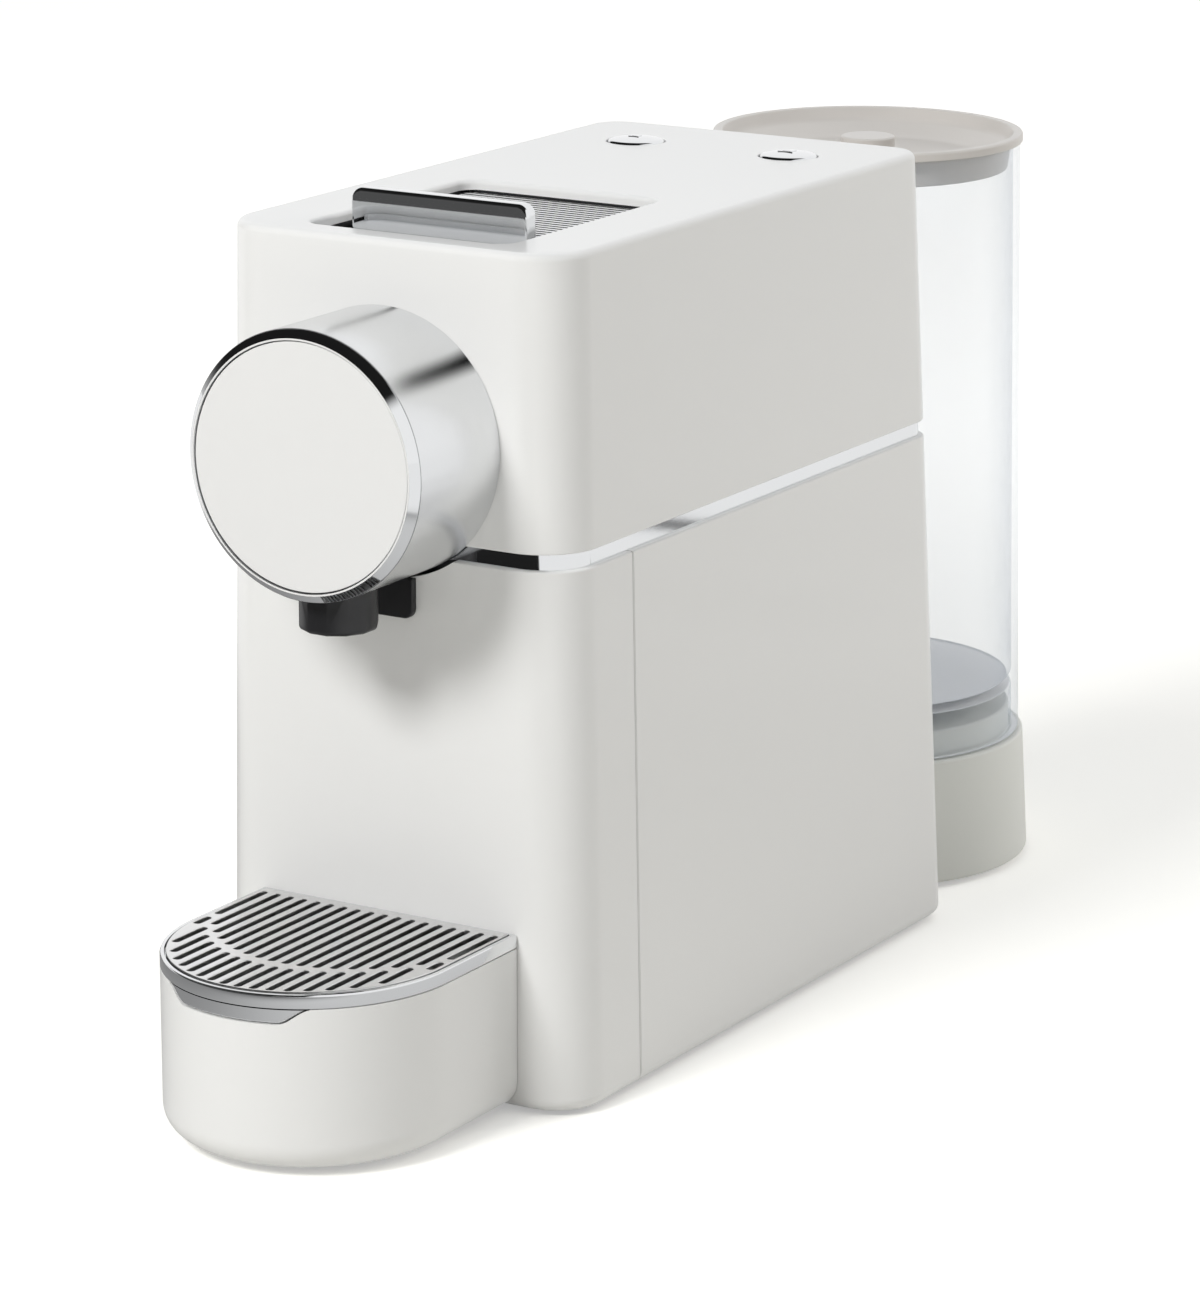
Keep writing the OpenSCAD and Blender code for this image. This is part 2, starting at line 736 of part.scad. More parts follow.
module brew_piston() color("orange") at_origin() {
    groove_y = piston_head_front + piston_len / 2;
    difference() {
        union() {
            along_y(piston_head_front) cylinder(r = piston_r - round_fit, h = piston_len);
            along_y(cup_floor - 1) cylinder(r = piston_r - 4 - fit, h = piston_head_front - cup_floor + 1 + thin);
            for (a = [30, 150, 270]) along_y(cup_floor - 5, x = 6 * cos(a), z = head_axis + 6 * sin(a))
                cylinder(r1 = 0.2, r2 = 1, h = 4 + thin, $fn = 24);
        }
        along_y(groove_y - 1.1) ring(piston_r + 1, piston_r - 2.2, 2.2);
        along_y(cup_floor - 2) cylinder(r = 1.2, h = 60);
    }
}

module piston_seal() color("black") at_origin()
    along_y(piston_head_front + piston_len / 2) rotate_extrude()
        translate([piston_r - 1.12, 0]) circle(r = 1, $fn = 24);

module piston_spring() color("silver") at_origin()
    along_y(cylinder_front) coil(piston_r - 2, 0.5, spring_len, 2);

// ---- buttons, switches and board ----

// Pressed cap with its stem and the flange that keeps it under the top
module button_cap() {
    dome_z = body_h - 0.8;
    dome_h = button_rise + 0.8;
    dome_r = (button_r * button_r + dome_h * dome_h) / (2 * dome_h);
    intersection() {
        translate([0, 0, flange_top - thin]) cylinder(r = button_r, h = 20);
        union() {
            translate([0, 0, body_h + button_rise - dome_r]) sphere(r = dome_r, $fn = 96);
            translate([0, 0, flange_top - flange_t]) cylinder(r = button_r, h = dome_z - flange_top + flange_t);
        }
    }
    translate([0, 0, flange_top - flange_t]) cylinder(r = flange_r, h = flange_t);
    translate([0, 0, stem_bottom]) cylinder(r = stem_r, h = flange_top - stem_bottom);
}

module left_button() color("silver") at_origin() translate([-button_x, button_y, 0]) button_cap();
module right_button() color("silver") at_origin() translate([button_x, button_y, 0]) button_cap();

module button_spring(x) color("silver") at_origin()
    translate([x, button_y, board_z + board_t]) coil(stem_r + 1.2, 0.4, flange_top - flange_t - board_z - board_t, 4);
module left_button_spring() button_spring(-button_x);
module right_button_spring() button_spring(button_x);

module control_board() color("darkgreen") at_origin() {
    block([-board_w, board_front, board_z], [board_w, board_back, board_z + board_t]);
    block([-12, board_front + 4, board_z + board_t - thin], [-4, board_front + 12, board_z + board_t + 3]);
    block([2, board_front + 3, board_z + board_t - thin], [14, board_front + 12, board_z + board_t + 5]);
}

module button_switches() color("black") at_origin() both_sides()
    translate([button_x, button_y, board_z + board_t]) {
        translate([-3, -3, 0]) cube([6, 6, switch_h - 0.8]);
        cylinder(r = 1.6, h = switch_h);
    }

// ---- water path ----

module pump() color("goldenrod") at_origin() translate([pump_x, pump_y, pump_z]) difference() {
    union() {
        cylinder(r = pump_r, h = pump_len);
        translate([0, 0, -neck_len]) cylinder(r = 7, h = pump_len + 2 * neck_len);
        translate([0, 0, -neck_len - port_len]) cylinder(r = hose_r, h = pump_len + 2 * (neck_len + port_len));
    }
    translate([0, 0, -neck_len - port_len - through])
        cylinder(r = 1.5, h = pump_len + 2 * (neck_len + port_len + through));
}

module pump_rings() color("black") at_origin() for (z = [10, pump_len - 16])
    translate([pump_x, pump_y, pump_z + z]) ring(pump_r + 2, pump_r + round_fit, 6);

module pump_bracket() color("dimgray") at_origin() {
    ring_out = pump_r + 4.5;
    for (z = [10, pump_len - 16]) difference() {
        union() {
            translate([pump_x, pump_y, pump_z + z]) cylinder(r = ring_out, h = 6);
            block([pump_x - 8, bulkhead_back, pump_z + z], [pump_x + 8, pump_y - pump_r, pump_z + z + 6]);
        }
        translate([pump_x, pump_y, pump_z + z - through]) cylinder(r = pump_r + 2 + round_fit, h = 8);
    }
    block([pump_x - 12, bulkhead_back, pump_z + 4], [pump_x + 12, bulkhead_back + 2, pump_z + pump_len - 4]);
}

module heater_block() color("lightgray") at_origin() difference() {
    union() {
        block([heater_x - heater_w / 2, heater_y, heater_z], [heater_x + heater_w / 2, heater_y + heater_d, heater_z + heater_h]);
        for (z = [heater_z + 10, heater_z + heater_h - 20])
            block([heater_x - 6, bulkhead_back, z], [heater_x + 6, heater_y + thin, z + 10]);
        for (at = [[heater_x, outlet_y], [inlet_x, inlet_y]])
            translate([at[0], at[1], heater_z + heater_h - thin]) cylinder(r = hose_r, h = port_len + 2);
    }
    for (z = [heater_z + 14 : 14 : heater_z + heater_h - 8])
        block([heater_x - heater_w / 2 - through, heater_y + heater_d - 3, z],
              [heater_x + heater_w / 2 + through, heater_y + heater_d + through, z + 5]);
}

module thermostat() color("ivory") at_origin()
    translate([heater_x + heater_w / 2 - 9, heater_y + 12, heater_z + heater_h]) {
        cylinder(r = 6, h = 5);
        translate([0, 0, 5 - thin]) cylinder(r = 4, h = 3);
    }

module flow_meter() color("ivory") at_origin() translate([meter_x, meter_y, meter_z]) {
    cylinder(r = meter_r, h = meter_h);
    translate([0, 0, 4.5]) rotate([90, 0, 0]) cylinder(r = hose_r, h = meter_r + port_len);
    translate([0, 0, meter_h / 2 + 2]) rotate([0, 90, 45]) cylinder(r = hose_r, h = meter_r + port_len);
}

module suction_hose() color("lightblue") at_origin() {
    inlet_z = meter_z + meter_h / 2 + 2;
    reach = (meter_r + port_len + hose_gap) * cos(45);
    hose([[meter_x + reach, meter_y + reach, inlet_z], [0, meter_y - meter_x, inlet_z],
          [0, socket_y - 8, inlet_z + 3], [0, socket_y, inlet_z + 9], [0, socket_y, plinth_top - 12.2]], hose_r);
}

module pump_hose() color("lightblue") at_origin()
    hose([[pump_x, meter_y - meter_r - port_len - hose_gap, meter_z + 4.5], [pump_x, pump_y + 1, meter_z + 4.5],
          [pump_x, pump_y, meter_z + 7], [pump_x, pump_y, pump_inlet]], hose_r);

module pressure_hose() color("lightblue") at_origin() {
    run_z = max(pump_outlet, heater_outlet) + hose_r + hose_gap;
    hose([[pump_x, pump_y, pump_outlet], [pump_x, pump_y, run_z],
          [inlet_x, inlet_y, run_z], [inlet_x, inlet_y, heater_outlet]], hose_r);
}

module hot_water_hose() color("tomato") at_origin()
    hose([[heater_x, outlet_y, heater_outlet],
          [heater_x, outlet_y, deck_top + 6], [heater_x - 4, inlet_y, head_axis - 10],
          [0, cup_back + 32, head_axis], [0, cup_back + 8.2, head_axis]], hose_r);

// ---- tank base ----

module tank_base() color("lightgray") at_origin() {
    skin = 2.5;
    difference() {
        union() {
            difference() {
                translate([0, tank_axis, shell_lift])
                    cylinder(r1 = base_r, r2 = base_r - base_taper, h = base_top - shell_lift);
                translate([0, back_y(0) + fit, 0]) rotate([atan(rear_draft), 0, 0])
                    block([-base_r, -base_r, -through], [base_r, 0, base_top + 2 * through]);
            }
            translate([0, tank_axis, base_top - thin]) cylinder(r = plinth_r, h = plinth_top - base_top + thin);
            block([-neck_w, neck_front, floor_top], [neck_w, tank_axis - 30, neck_top]);
        }
        translate([0, tank_axis, 0]) cylinder(r = plinth_r - skin, h = plinth_top - skin);
        block([-neck_w + skin, neck_front - through, 0], [neck_w - skin, tank_axis - 20, neck_top - skin]);
        block([-neck_w - 1, body_d - 10, 0], [neck_w + 1, tank_axis, floor_top + fit]);
        translate([0, socket_y, plinth_top - 20]) cylinder(r = socket_r + round_fit, h = 30);
    }
}

module tank_socket() color("dimgray") at_origin() translate([0, socket_y, 0]) difference() {
    union() {
        translate([0, 0, plinth_top - 12]) cylinder(r = socket_r, h = 12.5);
        translate([0, 0, plinth_top - 12]) cylinder(r = socket_r + 3, h = 9.5 - fit);
    }
    translate([0, 0, plinth_top - 8]) cylinder(r = socket_r - 1.5, h = 20);
    for (a = [0, 120, 240]) rotate([0, 0, a]) translate([3, 0, plinth_top - 14]) cylinder(r = 0.9, h = 20);
}

module socket_seal() color("black") at_origin() translate([0, socket_y, plinth_top + 0.5])
    ring(socket_r, socket_r - 2.4, 1.2);

// ---- drip tray ----

// Outline of the tray, drawn in by inset, with its straight back at y = back
module tray_outline(inset, back) {
    polygon(concat(
        [[tray_w - inset, back], [-tray_w + inset, back]],
        [for (a = [0 : 6 : 180]) [-(tray_w - inset) * cos(a), -tray_straight - (tray_round - inset) * sin(a)]]));
}

// Prism with the finger tongue's outline, grown by grow, from y = back towards the front
module tongue_block(grow, back, top) {
    side = [for (a = [0 : 30 : 180]) [tongue_tip + grow + (tongue_w - tongue_tip) * a / 180,
                                      rim_z - (tongue_drop + grow) * (1 + cos(a)) / 2]];
    edge = concat(side, [[tongue_w + grow, rim_z + top]]);
    translate([0, back, 0]) rotate([90, 0, 0]) linear_extrude(tray_round + 10)
        polygon(concat(edge, [for (i = [len(edge) - 1 : -1 : 0]) [-edge[i][0], edge[i][1]]]));
}

module tray_body() color("white") at_origin() {
    edge = 5;
    difference() {
        hull() {
            for (a = [0 : 22.5 : 90]) translate([0, 0, tray_bottom + edge * (1 - cos(a))])
                linear_extrude(thin) tray_outline(edge * (1 - sin(a)), -fit);
            translate([0, 0, rim_z - thin]) linear_extrude(thin) tray_outline(0, -fit);
        }
        translate([0, 0, tray_bottom + tray_t]) linear_extrude(60) tray_outline(tray_t, -fit - tray_t);
        tongue_block(fit, -tray_straight, through);
    }
}

module capsule_bin() color("dimgray") at_origin() difference() {
    block([-bin_w, -fit, bin_floor], [bin_w, bin_len, bin_top]);
    block([-bin_w + bin_t, wall + 1, bin_floor + bin_t], [bin_w - bin_t, bin_len - bin_t, bin_top + through]);
}

module drip_cup() color("silver") at_origin() {
    inset = tray_t + 0.5;
    skin = 1.2;
    difference() {
        union() {
            translate([0, 0, rim_z + 0.1]) linear_extrude(ring_h - 0.1) tray_outline(0, -fit);
            translate([0, 0, cup_bottom]) linear_extrude(rim_z - cup_bottom + 0.2) tray_outline(inset, -fit - inset);
            intersection() {
                translate([0, 0, rim_z - tongue_drop]) linear_extrude(tongue_drop + 0.2) tray_outline(0, -fit);
                tongue_block(0, tray_y(tongue_w, inset), 0.2);
            }
        }
        translate([0, 0, cup_bottom + skin]) linear_extrude(60) tray_outline(inset + skin, -fit - inset - skin);
        translate([0, 0, grille_under - fit]) linear_extrude(10) tray_outline(ring_w, -fit - ring_w);
    }
}

module grille() color("silver") at_origin() {
    border = ring_w + fit + 0.6;
    slots = floor((tray_w - border - slot_w / 2) / slot_pitch + 0.5);
    difference() {
        translate([0, 0, grille_under]) linear_extrude(grille_t)
            tray_outline(ring_w + fit, -ring_w - 2 * fit);
        for (i = [-slots : slots - 1]) {
            x = (i + 0.5) * slot_pitch;
            front = tray_y(abs(x) + slot_w / 2, border);
            bridge = tray_y(x, 0) + bridge_back;
            translate([0, 0, grille_under - through]) {
                if (bridge + bridge_w / 2 < -slot_back - 4)
                    block([x - slot_w / 2, bridge + bridge_w / 2, 0], [x + slot_w / 2, -slot_back, 10]);
                if (front < bridge - bridge_w / 2 - 3)
                    block([x - slot_w / 2, front, 0], [x + slot_w / 2, bridge - bridge_w / 2, 10]);
            }
        }
    }
}

// ---- water tank ----

module tank_tube() color("lightcyan") at_origin() translate([0, tank_axis, 0]) difference() {
    rotate_extrude()
        polygon([[0, tank_floor], [tank_r(tank_floor) - tank_t, tank_floor],
                 [tank_r(base_top) - tank_t, base_top + fit], [tank_r(base_top), base_top + fit],
                 [tank_r(tank_mouth), tank_mouth], [tank_r(tank_mouth) - tank_t, tank_mouth],
                 [tank_r(tank_floor) - tank_t, tank_floor + tank_t], [0, tank_floor + tank_t]]);
    translate([0, socket_y - tank_axis, tank_floor - through]) cylinder(r = 4 + round_fit, h = 5);
}

module valve_seat() color("dimgray") at_origin() translate([0, socket_y, 0]) difference() {
    union() {
        translate([0, 0, tank_floor + tank_t]) cylinder(r = 7, h = 7);
        translate([0, 0, seat_bottom]) cylinder(r = 4, h = tank_floor + tank_t - seat_bottom + thin);
    }
    translate([0, 0, tank_floor]) cylinder(r = 3, h = tank_t + 5);
    translate([0, 0, tank_floor - 5]) cylinder(r = 1.6, h = 20);
    for (a = [0, 60, 120]) translate([0, 0, tank_floor + tank_t + 3.5]) rotate([0, 90, a])
        translate([0, 0, -10]) cylinder(r = 0.9, h = 20, $fn = 24);
}

module valve_plunger() color("orange") at_origin() translate([0, socket_y, 0]) {
    head_z0 = tank_floor + fit + valve_stroke;
    translate([0, 0, head_z0]) cylinder(r = 2.7, h = 1.4);
    translate([0, 0, plinth_top - 7.6]) cylinder(r = 1.1, h = head_z0 + 1 - plinth_top + 7.6);
}

module valve_spring() color("silver") at_origin()
    translate([0, socket_y, tank_floor + 1.8 + valve_stroke]) coil(2.1, 0.25, tank_t + 5 - 1.8 - valve_stroke - 0.1, 2);

module tank_lid() color("linen") at_origin() translate([0, tank_axis, 0])
    rotate_extrude()
        polygon([[0, lid_seat + lid_rim - bowl_depth - lid_t], [plug_r - 7, lid_seat + lid_rim - bowl_depth - lid_t],
                 [plug_r - 3.4, plug_bottom + 1.4], [plug_r - 2.4, plug_bottom], [plug_r - 1, plug_bottom],
                 [plug_r, lid_seat], [tank_top_r + 0.6, lid_seat],
                 [tank_top_r + 0.6, lid_seat + lid_rim], [tank_top_r - 1.6, lid_seat + lid_rim],
                 [plug_r - 9, lid_seat + lid_rim - bowl_depth + 1.2],
                 [plug_r - 12, lid_seat + lid_rim - bowl_depth], [0, lid_seat + lid_rim - bowl_depth]]);

module lid_knob() color("linen") at_origin()
    translate([0, tank_axis, lid_seat + lid_rim - bowl_depth]) {
        cylinder(r = knob_r, h = bowl_depth - 2.4);
        translate([0, 0, bowl_depth - 2.4 - thin]) cylinder(r1 = knob_r, r2 = knob_r - 0.8, h = 0.8);
    }

upper_shell();
trim_band();
front_panel();
lower_shell();
base_plate();
rubber_feet();
deck();
bulkhead();
drawer_bay();
capsule_drop();
brew_frame();
capsule_guide();
outlet_block();
outlet_plate();
outlet_seal();
head_shell();
head_bezel();
head_disc();
spout();
outlet_bracket();
hatch_rails();
hatch_handle();
hatch_carrier();
hatch_slats();
slide_arms();
capsule_cup();
brew_piston();
piston_seal();
piston_spring();
left_button();
right_button();
left_button_spring();
right_button_spring();
control_board();
button_switches();
pump();
pump_bracket();
pump_rings();
heater_block();
thermostat();
flow_meter();
suction_hose();
pump_hose();
pressure_hose();
hot_water_hose();
mains_gland();
case_screws();
tank_base();
tank_socket();
socket_seal();
tray_body();
capsule_bin();
drip_cup();
grille();
tank_tube();
valve_seat();
valve_plunger();
valve_spring();
tank_lid();
lid_knob();
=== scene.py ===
"""Looks of a slim pod coffee machine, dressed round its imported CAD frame.

Lengths in the sections are in millimetres, with y = 0 at the front face of the body.
"""

import math

import bmesh
import bpy
from mathutils import Matrix, Vector


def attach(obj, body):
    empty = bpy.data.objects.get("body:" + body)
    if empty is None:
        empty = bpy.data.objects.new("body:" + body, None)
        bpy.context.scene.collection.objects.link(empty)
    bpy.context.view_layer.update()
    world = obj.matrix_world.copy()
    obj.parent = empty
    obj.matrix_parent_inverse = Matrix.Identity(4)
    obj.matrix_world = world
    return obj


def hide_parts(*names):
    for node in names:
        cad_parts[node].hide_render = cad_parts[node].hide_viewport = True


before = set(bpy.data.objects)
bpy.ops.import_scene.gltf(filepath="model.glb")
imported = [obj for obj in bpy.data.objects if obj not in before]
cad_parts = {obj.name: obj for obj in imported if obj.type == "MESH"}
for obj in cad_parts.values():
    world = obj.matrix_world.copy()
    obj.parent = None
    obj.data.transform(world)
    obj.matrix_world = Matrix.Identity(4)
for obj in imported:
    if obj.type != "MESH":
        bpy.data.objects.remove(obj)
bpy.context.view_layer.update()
scene = bpy.context.scene


# Viewpoint. The machine stands on a worktop and is seen from its front right corner,
# a little from above, with a long lens.
FRONT_FACE = -107.4
VIEW_TURN, VIEW_TILT, VIEW_ROLL = (math.radians(a) for a in (31.1877, 14.9211, 0.0825))
EYE = Vector((0.64732, -1.07951, 0.42082))

to_eye = Vector((math.sin(VIEW_TURN) * math.cos(VIEW_TILT),
                 -math.cos(VIEW_TURN) * math.cos(VIEW_TILT), math.sin(VIEW_TILT)))
level_right = Vector((math.cos(VIEW_TURN), math.sin(VIEW_TURN), 0))
level_up = to_eye.cross(level_right)
right = level_right * math.cos(VIEW_ROLL) + level_up * math.sin(VIEW_ROLL)
up = to_eye.cross(right)
lens = bpy.data.cameras.new("camera")
lens.sensor_width = 36
lens.lens = 141.755
lens.clip_start, lens.clip_end = 0.05, 20
camera = bpy.data.objects.new("camera", lens)
scene.collection.objects.link(camera)
camera.matrix_world = Matrix.Translation(EYE) @ Matrix((right, up, to_eye)).transposed().to_4x4()
scene.camera = camera


# Studio. A white sweep under three soft boxes: the main one high at the front, a cool one
# above and a warm one behind on the right. The room is white, but dark at the front left,
# and polished metal mirrors that dark side and a few soft-edged dark cards.
def link_nodes(tree, pairs):
    """Links each source socket to its target."""
    for source, target in pairs:
        tree.links.new(source, target)


def soft_box(name, place, target, width, power, colour):
    """A square area light that shines from place to target, in metres and watts."""
    lamp = bpy.data.lights.new(name, "AREA")
    lamp.shape = "SQUARE"
    lamp.size = width
    lamp.energy = power
    lamp.color = colour
    box = bpy.data.objects.new(name, lamp)
    box.location = place
    box.rotation_euler = (Vector(place) - Vector(target)).to_track_quat("Z", "Y").to_euler()
    box.visible_glossy = False
    scene.collection.objects.link(box)


NEUTRAL, COOL, WARM = (1, 1, 0.99), (0.74, 0.86, 1), (1, 0.975, 0.93)
soft_box("front_box", (-0.27, -1.47, 1.31), (0, -0.1, 0.15), 0.5, 22, NEUTRAL)
soft_box("top_box", (0.1, 0.2, 1.6), (0, 0, 0), 1.2, 3, COOL)
soft_box("rear_box", (0.9, 1.5, 0.6), (0.05, 0, 0.12), 0.9, 11.5, WARM)


def ramp(tree, source, low, high, at_low, at_high):
    """A smooth step of a value between two of its levels."""
    step = tree.nodes.new("ShaderNodeMapRange")
    step.interpolation_type = "SMOOTHSTEP"
    for label, value in (("From Min", low), ("From Max", high), ("To Min", at_low), ("To Max", at_high)):
        step.inputs[label].default_value = value
    tree.links.new(source, step.inputs["Value"])
    return step.outputs["Result"]


def joined(tree, operation, a, b):
    """Two values taken together by a Math node."""
    node = tree.nodes.new("ShaderNodeMath")
    node.operation = operation
    link_nodes(tree, [(a, node.inputs[0]), (b, node.inputs[1])])
    return node.outputs[0]


def blend(tree, factor, a, b):
    """From a to b by a factor. Either end may be a number."""
    node = tree.nodes.new("ShaderNodeMix")
    tree.links.new(factor, node.inputs["Factor"])
    for label, value in (("A", a), ("B", b)):
        if isinstance(value, bpy.types.NodeSocket):
            tree.links.new(value, node.inputs[label])
        else:
            node.inputs[label].default_value = value
    return node.outputs["Result"]


def in_mirror(tree, path):
    """1 where polished metal shows the studio, 0 where it only throws light on something else."""
    straight = ramp(tree, path.outputs["Diffuse Depth"], 0, 1, 1, 0)
    return joined(tree, "MULTIPLY", path.outputs["Is Glossy Ray"], straight)


AMBIENT, AMBIENT_COLOUR = 0.32, (1, 0.985, 0.96, 1)
world = bpy.data.worlds.new("white_room")
scene.world = world
world.use_nodes = True
room = world.node_tree
room.nodes.clear()
heading = room.nodes.new("ShaderNodeSeparateXYZ")
room.links.new(room.nodes.new("ShaderNodeTexCoord").outputs["Generated"], heading.inputs[0])
path = room.nodes.new("ShaderNodeLightPath")
leftward = ramp(room, heading.outputs["X"], 0.50, 0.62, 1, 0)
forward = ramp(room, heading.outputs["Y"], 0.25, 0.5, 1, 0)
dark_side = joined(room, "MULTIPLY", leftward, forward)
mirrored = room.nodes.new("ShaderNodeMix")
mirrored.data_type = "RGBA"
mirrored.inputs["A"].default_value = (1, 1, 1, 1)
ambient = room.nodes.new("ShaderNodeBackground")
ambient.inputs["Color"].default_value = AMBIENT_COLOUR
ambient.inputs["Strength"].default_value = AMBIENT
seen = room.nodes.new("ShaderNodeBackground")
seen.inputs["Strength"].default_value = 1
pick = room.nodes.new("ShaderNodeMixShader")
room_out = room.nodes.new("ShaderNodeOutputWorld")
clear_path = joined(room, "MAXIMUM", path.outputs["Is Camera Ray"], path.outputs["Is Transmission Ray"])
link_nodes(room, [
    (joined(room, "MULTIPLY", dark_side, in_mirror(room, path)), mirrored.inputs["Factor"]),
    (ramp(room, heading.outputs["Z"], 0, 0.25, 0.09, 0.012), mirrored.inputs["B"]),
    (mirrored.outputs["Result"], seen.inputs["Color"]),
    (joined(room, "MAXIMUM", clear_path, path.outputs["Is Glossy Ray"]), pick.inputs[0]),
    (ambient.outputs[0], pick.inputs[1]),
    (seen.outputs[0], pick.inputs[2]),
    (pick.outputs[0], room_out.inputs[0]),
])

FLOOR_HALF, FLOOR_COLOUR = 6, (0.87, 0.86, 0.82, 1)
floor_mesh = bpy.data.meshes.new("worktop")
floor_mesh.from_pydata([(-FLOOR_HALF, -FLOOR_HALF, 0), (FLOOR_HALF, -FLOOR_HALF, 0),
                        (FLOOR_HALF, FLOOR_HALF, 0), (-FLOOR_HALF, FLOOR_HALF, 0)], [], [(0, 1, 2, 3)])
worktop = bpy.data.objects.new("worktop", floor_mesh)
scene.collection.objects.link(worktop)
floor_paint = bpy.data.materials.new("worktop_white")
floor_paint.use_nodes = True
tree = floor_paint.node_tree
tree.nodes.clear()
matt = tree.nodes.new("ShaderNodeBsdfDiffuse")
matt.inputs["Color"].default_value = FLOOR_COLOUR
lift = tree.nodes.new("ShaderNodeEmission")
both = tree.nodes.new("ShaderNodeAddShader")
ray = tree.nodes.new("ShaderNodeLightPath")
spot, reach = tree.nodes.new("ShaderNodeSeparateXYZ"), tree.nodes.new("ShaderNodeVectorMath")
reach.operation = "LENGTH"
here = tree.nodes.new("ShaderNodeNewGeometry").outputs["Position"]
link_nodes(tree, [(here, spot.inputs[0]), (here, reach.inputs[0])])
away = reach.outputs["Value"]
# Seen in polished metal, the floor is a glow of set strength. It is white far off and dark out at the front
# left, like the room there. Close to the machine it is darker, a painted shade that deepens towards the left.
left_part = ramp(tree, spot.outputs["X"], 0.22, 0.25, 1, 0)
front_part = ramp(tree, spot.outputs["Y"], -0.3, -0.1, 1, 0)
dark_part = joined(tree, "MULTIPLY", left_part, front_part)
far_off = blend(tree, dark_part, 0.95, ramp(tree, away, 0.7, 1.0, 0.015, 0.085))
painted_shade_near = ramp(tree, spot.outputs["X"], -0.2, 0.15, 0.26, 0.66)
mirrored_floor_painted_shade = tree.nodes.new("ShaderNodeEmission")
show, as_mirror = tree.nodes.new("ShaderNodeMixShader"), tree.nodes.new("ShaderNodeMixShader")
floor_out = tree.nodes.new("ShaderNodeOutputMaterial")
looked_at = joined(tree, "MAXIMUM", ray.outputs["Is Camera Ray"], ray.outputs["Is Transmission Ray"])
link_nodes(tree, [
    (matt.outputs[0], both.inputs[0]),
    (lift.outputs[0], both.inputs[1]),
    (looked_at, show.inputs[0]),
    (matt.outputs[0], show.inputs[1]),
    (both.outputs[0], show.inputs[2]),
    (ramp(tree, away, 0.25, 0.7, 0.38, 0.64), lift.inputs["Strength"]),
    (blend(tree, ramp(tree, away, 0.3, 0.45, 0, 1), painted_shade_near, far_off), mirrored_floor_painted_shade.inputs["Strength"]),
    (in_mirror(tree, ray), as_mirror.inputs[0]),
    (show.outputs[0], as_mirror.inputs[1]),
    (mirrored_floor_painted_shade.outputs[0], as_mirror.inputs[2]),
    (as_mirror.outputs[0], floor_out.inputs[0]),
])
floor_mesh.materials.append(floor_paint)

card_black = bpy.data.materials.new("card_black")
card_black.use_nodes = True
tree = card_black.node_tree
tree.nodes.clear()
through, black = tree.nodes.new("ShaderNodeBsdfTransparent"), tree.nodes.new("ShaderNodeEmission")
black.inputs["Strength"].default_value = 0.01
shade = tree.nodes.new("ShaderNodeAttribute")
shade.attribute_name = "shade"
card_side = ramp(tree, tree.nodes.new("ShaderNodeNewGeometry").outputs["Backfacing"], 0, 1, 1, 0)
solid, card_out = tree.nodes.new("ShaderNodeMixShader"), tree.nodes.new("ShaderNodeOutputMaterial")
link_nodes(tree, [
    (joined(tree, "MULTIPLY", shade.outputs["Fac"], card_side), solid.inputs[0]),
    (through.outputs[0], solid.inputs[1]),
    (black.outputs[0], solid.inputs[2]),
    (solid.outputs[0], card_out.inputs[0]),
])


def dark_card(name, near, far, depth=1.0, cells=10):
    """A card between two edges, each a pair of points in mm.

    It fades out to its sides, and shows in reflections only.
    """
    corners = [[Vector(p) + Vector((0, FRONT_FACE, 0)) for p in edge] for edge in (near, far)]
    points, shades = [], []
    for j in range(cells + 1):
        ends = [near_end.lerp(far_end, j / cells) for near_end, far_end in zip(*corners)]
        for i in range(cells + 1):
            points.append(ends[0].lerp(ends[1], i / cells) / 1000)
            shades.append(depth * math.sin(math.pi * i / cells) ** 1.3)
    row = cells + 1
    quads = [(k, k + 1, k + row + 1, k + row) for j in range(cells) for k in range(j * row, j * row + cells)]
    mesh = bpy.data.meshes.new(name)
    mesh.from_pydata(points, [], quads)
    mesh.attributes.new("shade", "FLOAT", "POINT").data.foreach_set("value", shades)
    mesh.materials.append(card_black)
    card = bpy.data.objects.new(name, mesh)
    card.visible_camera = card.visible_diffuse = card.visible_transmission = card.visible_shadow = False
    scene.collection.objects.link(card)


WALL_Y, FLOOR_Z, CARD_NEAR, CARD_FAR = -0.4, 1, 240, 390
dark_card("barrel_card", [(20.7, WALL_Y, 184.6), (26.2, WALL_Y, 179.3)],
          [(28.2, WALL_Y, 204.6), (41.5, WALL_Y, 196.4)])
dark_card("barrel_line_card", [(2.3, WALL_Y, 192.3), (4.9, WALL_Y, 192)],
          [(-14.6, WALL_Y, 204), (-11.2, WALL_Y, 207.5)], 0.75)
for name, front, back in (("band_card_front", 469, 507), ("band_card_rear", 569, 594)):
    dark_card(name, *[[(x, back, FLOOR_Z), (x, front, FLOOR_Z)] for x in (CARD_NEAR, CARD_FAR)])


# Upper casing shell. One injection-moulded white ABS part with drafted sides and a softly
# rolled top edge, open at the hatch slot and round the two buttons. It is held by four
# screws from below, and rests on the trim band.
BODY_HALF, SIDE_DRAFT, BODY_DEPTH, REAR_DRAFT = 50, 0.021, 186, 0.064
BODY_TOP, MID_HEIGHT, WALL = 208, 104, 2.5
FRONT_CORNER, REAR_CORNER, TOP_EDGE = 14, 9, 2
BAND_TOP, BAND_BOTTOM = 137.5, 133.5
HATCH_HALF, HATCH_FRONT, HATCH_LENGTH, HATCH_CORNER, HATCH_LIP = 28, 9, 71, 4.5, 1.2
BUTTON_X, BUTTON_Y, BUTTON_R = 22.5, 152, 7.3


def side_of(z):
    """Half the casing's width at a height."""
    return BODY_HALF + SIDE_DRAFT * (MID_HEIGHT - z)


def back_of(z):
    """Where the casing's back is at a height."""
    return BODY_DEPTH + REAR_DRAFT * (MID_HEIGHT - z)


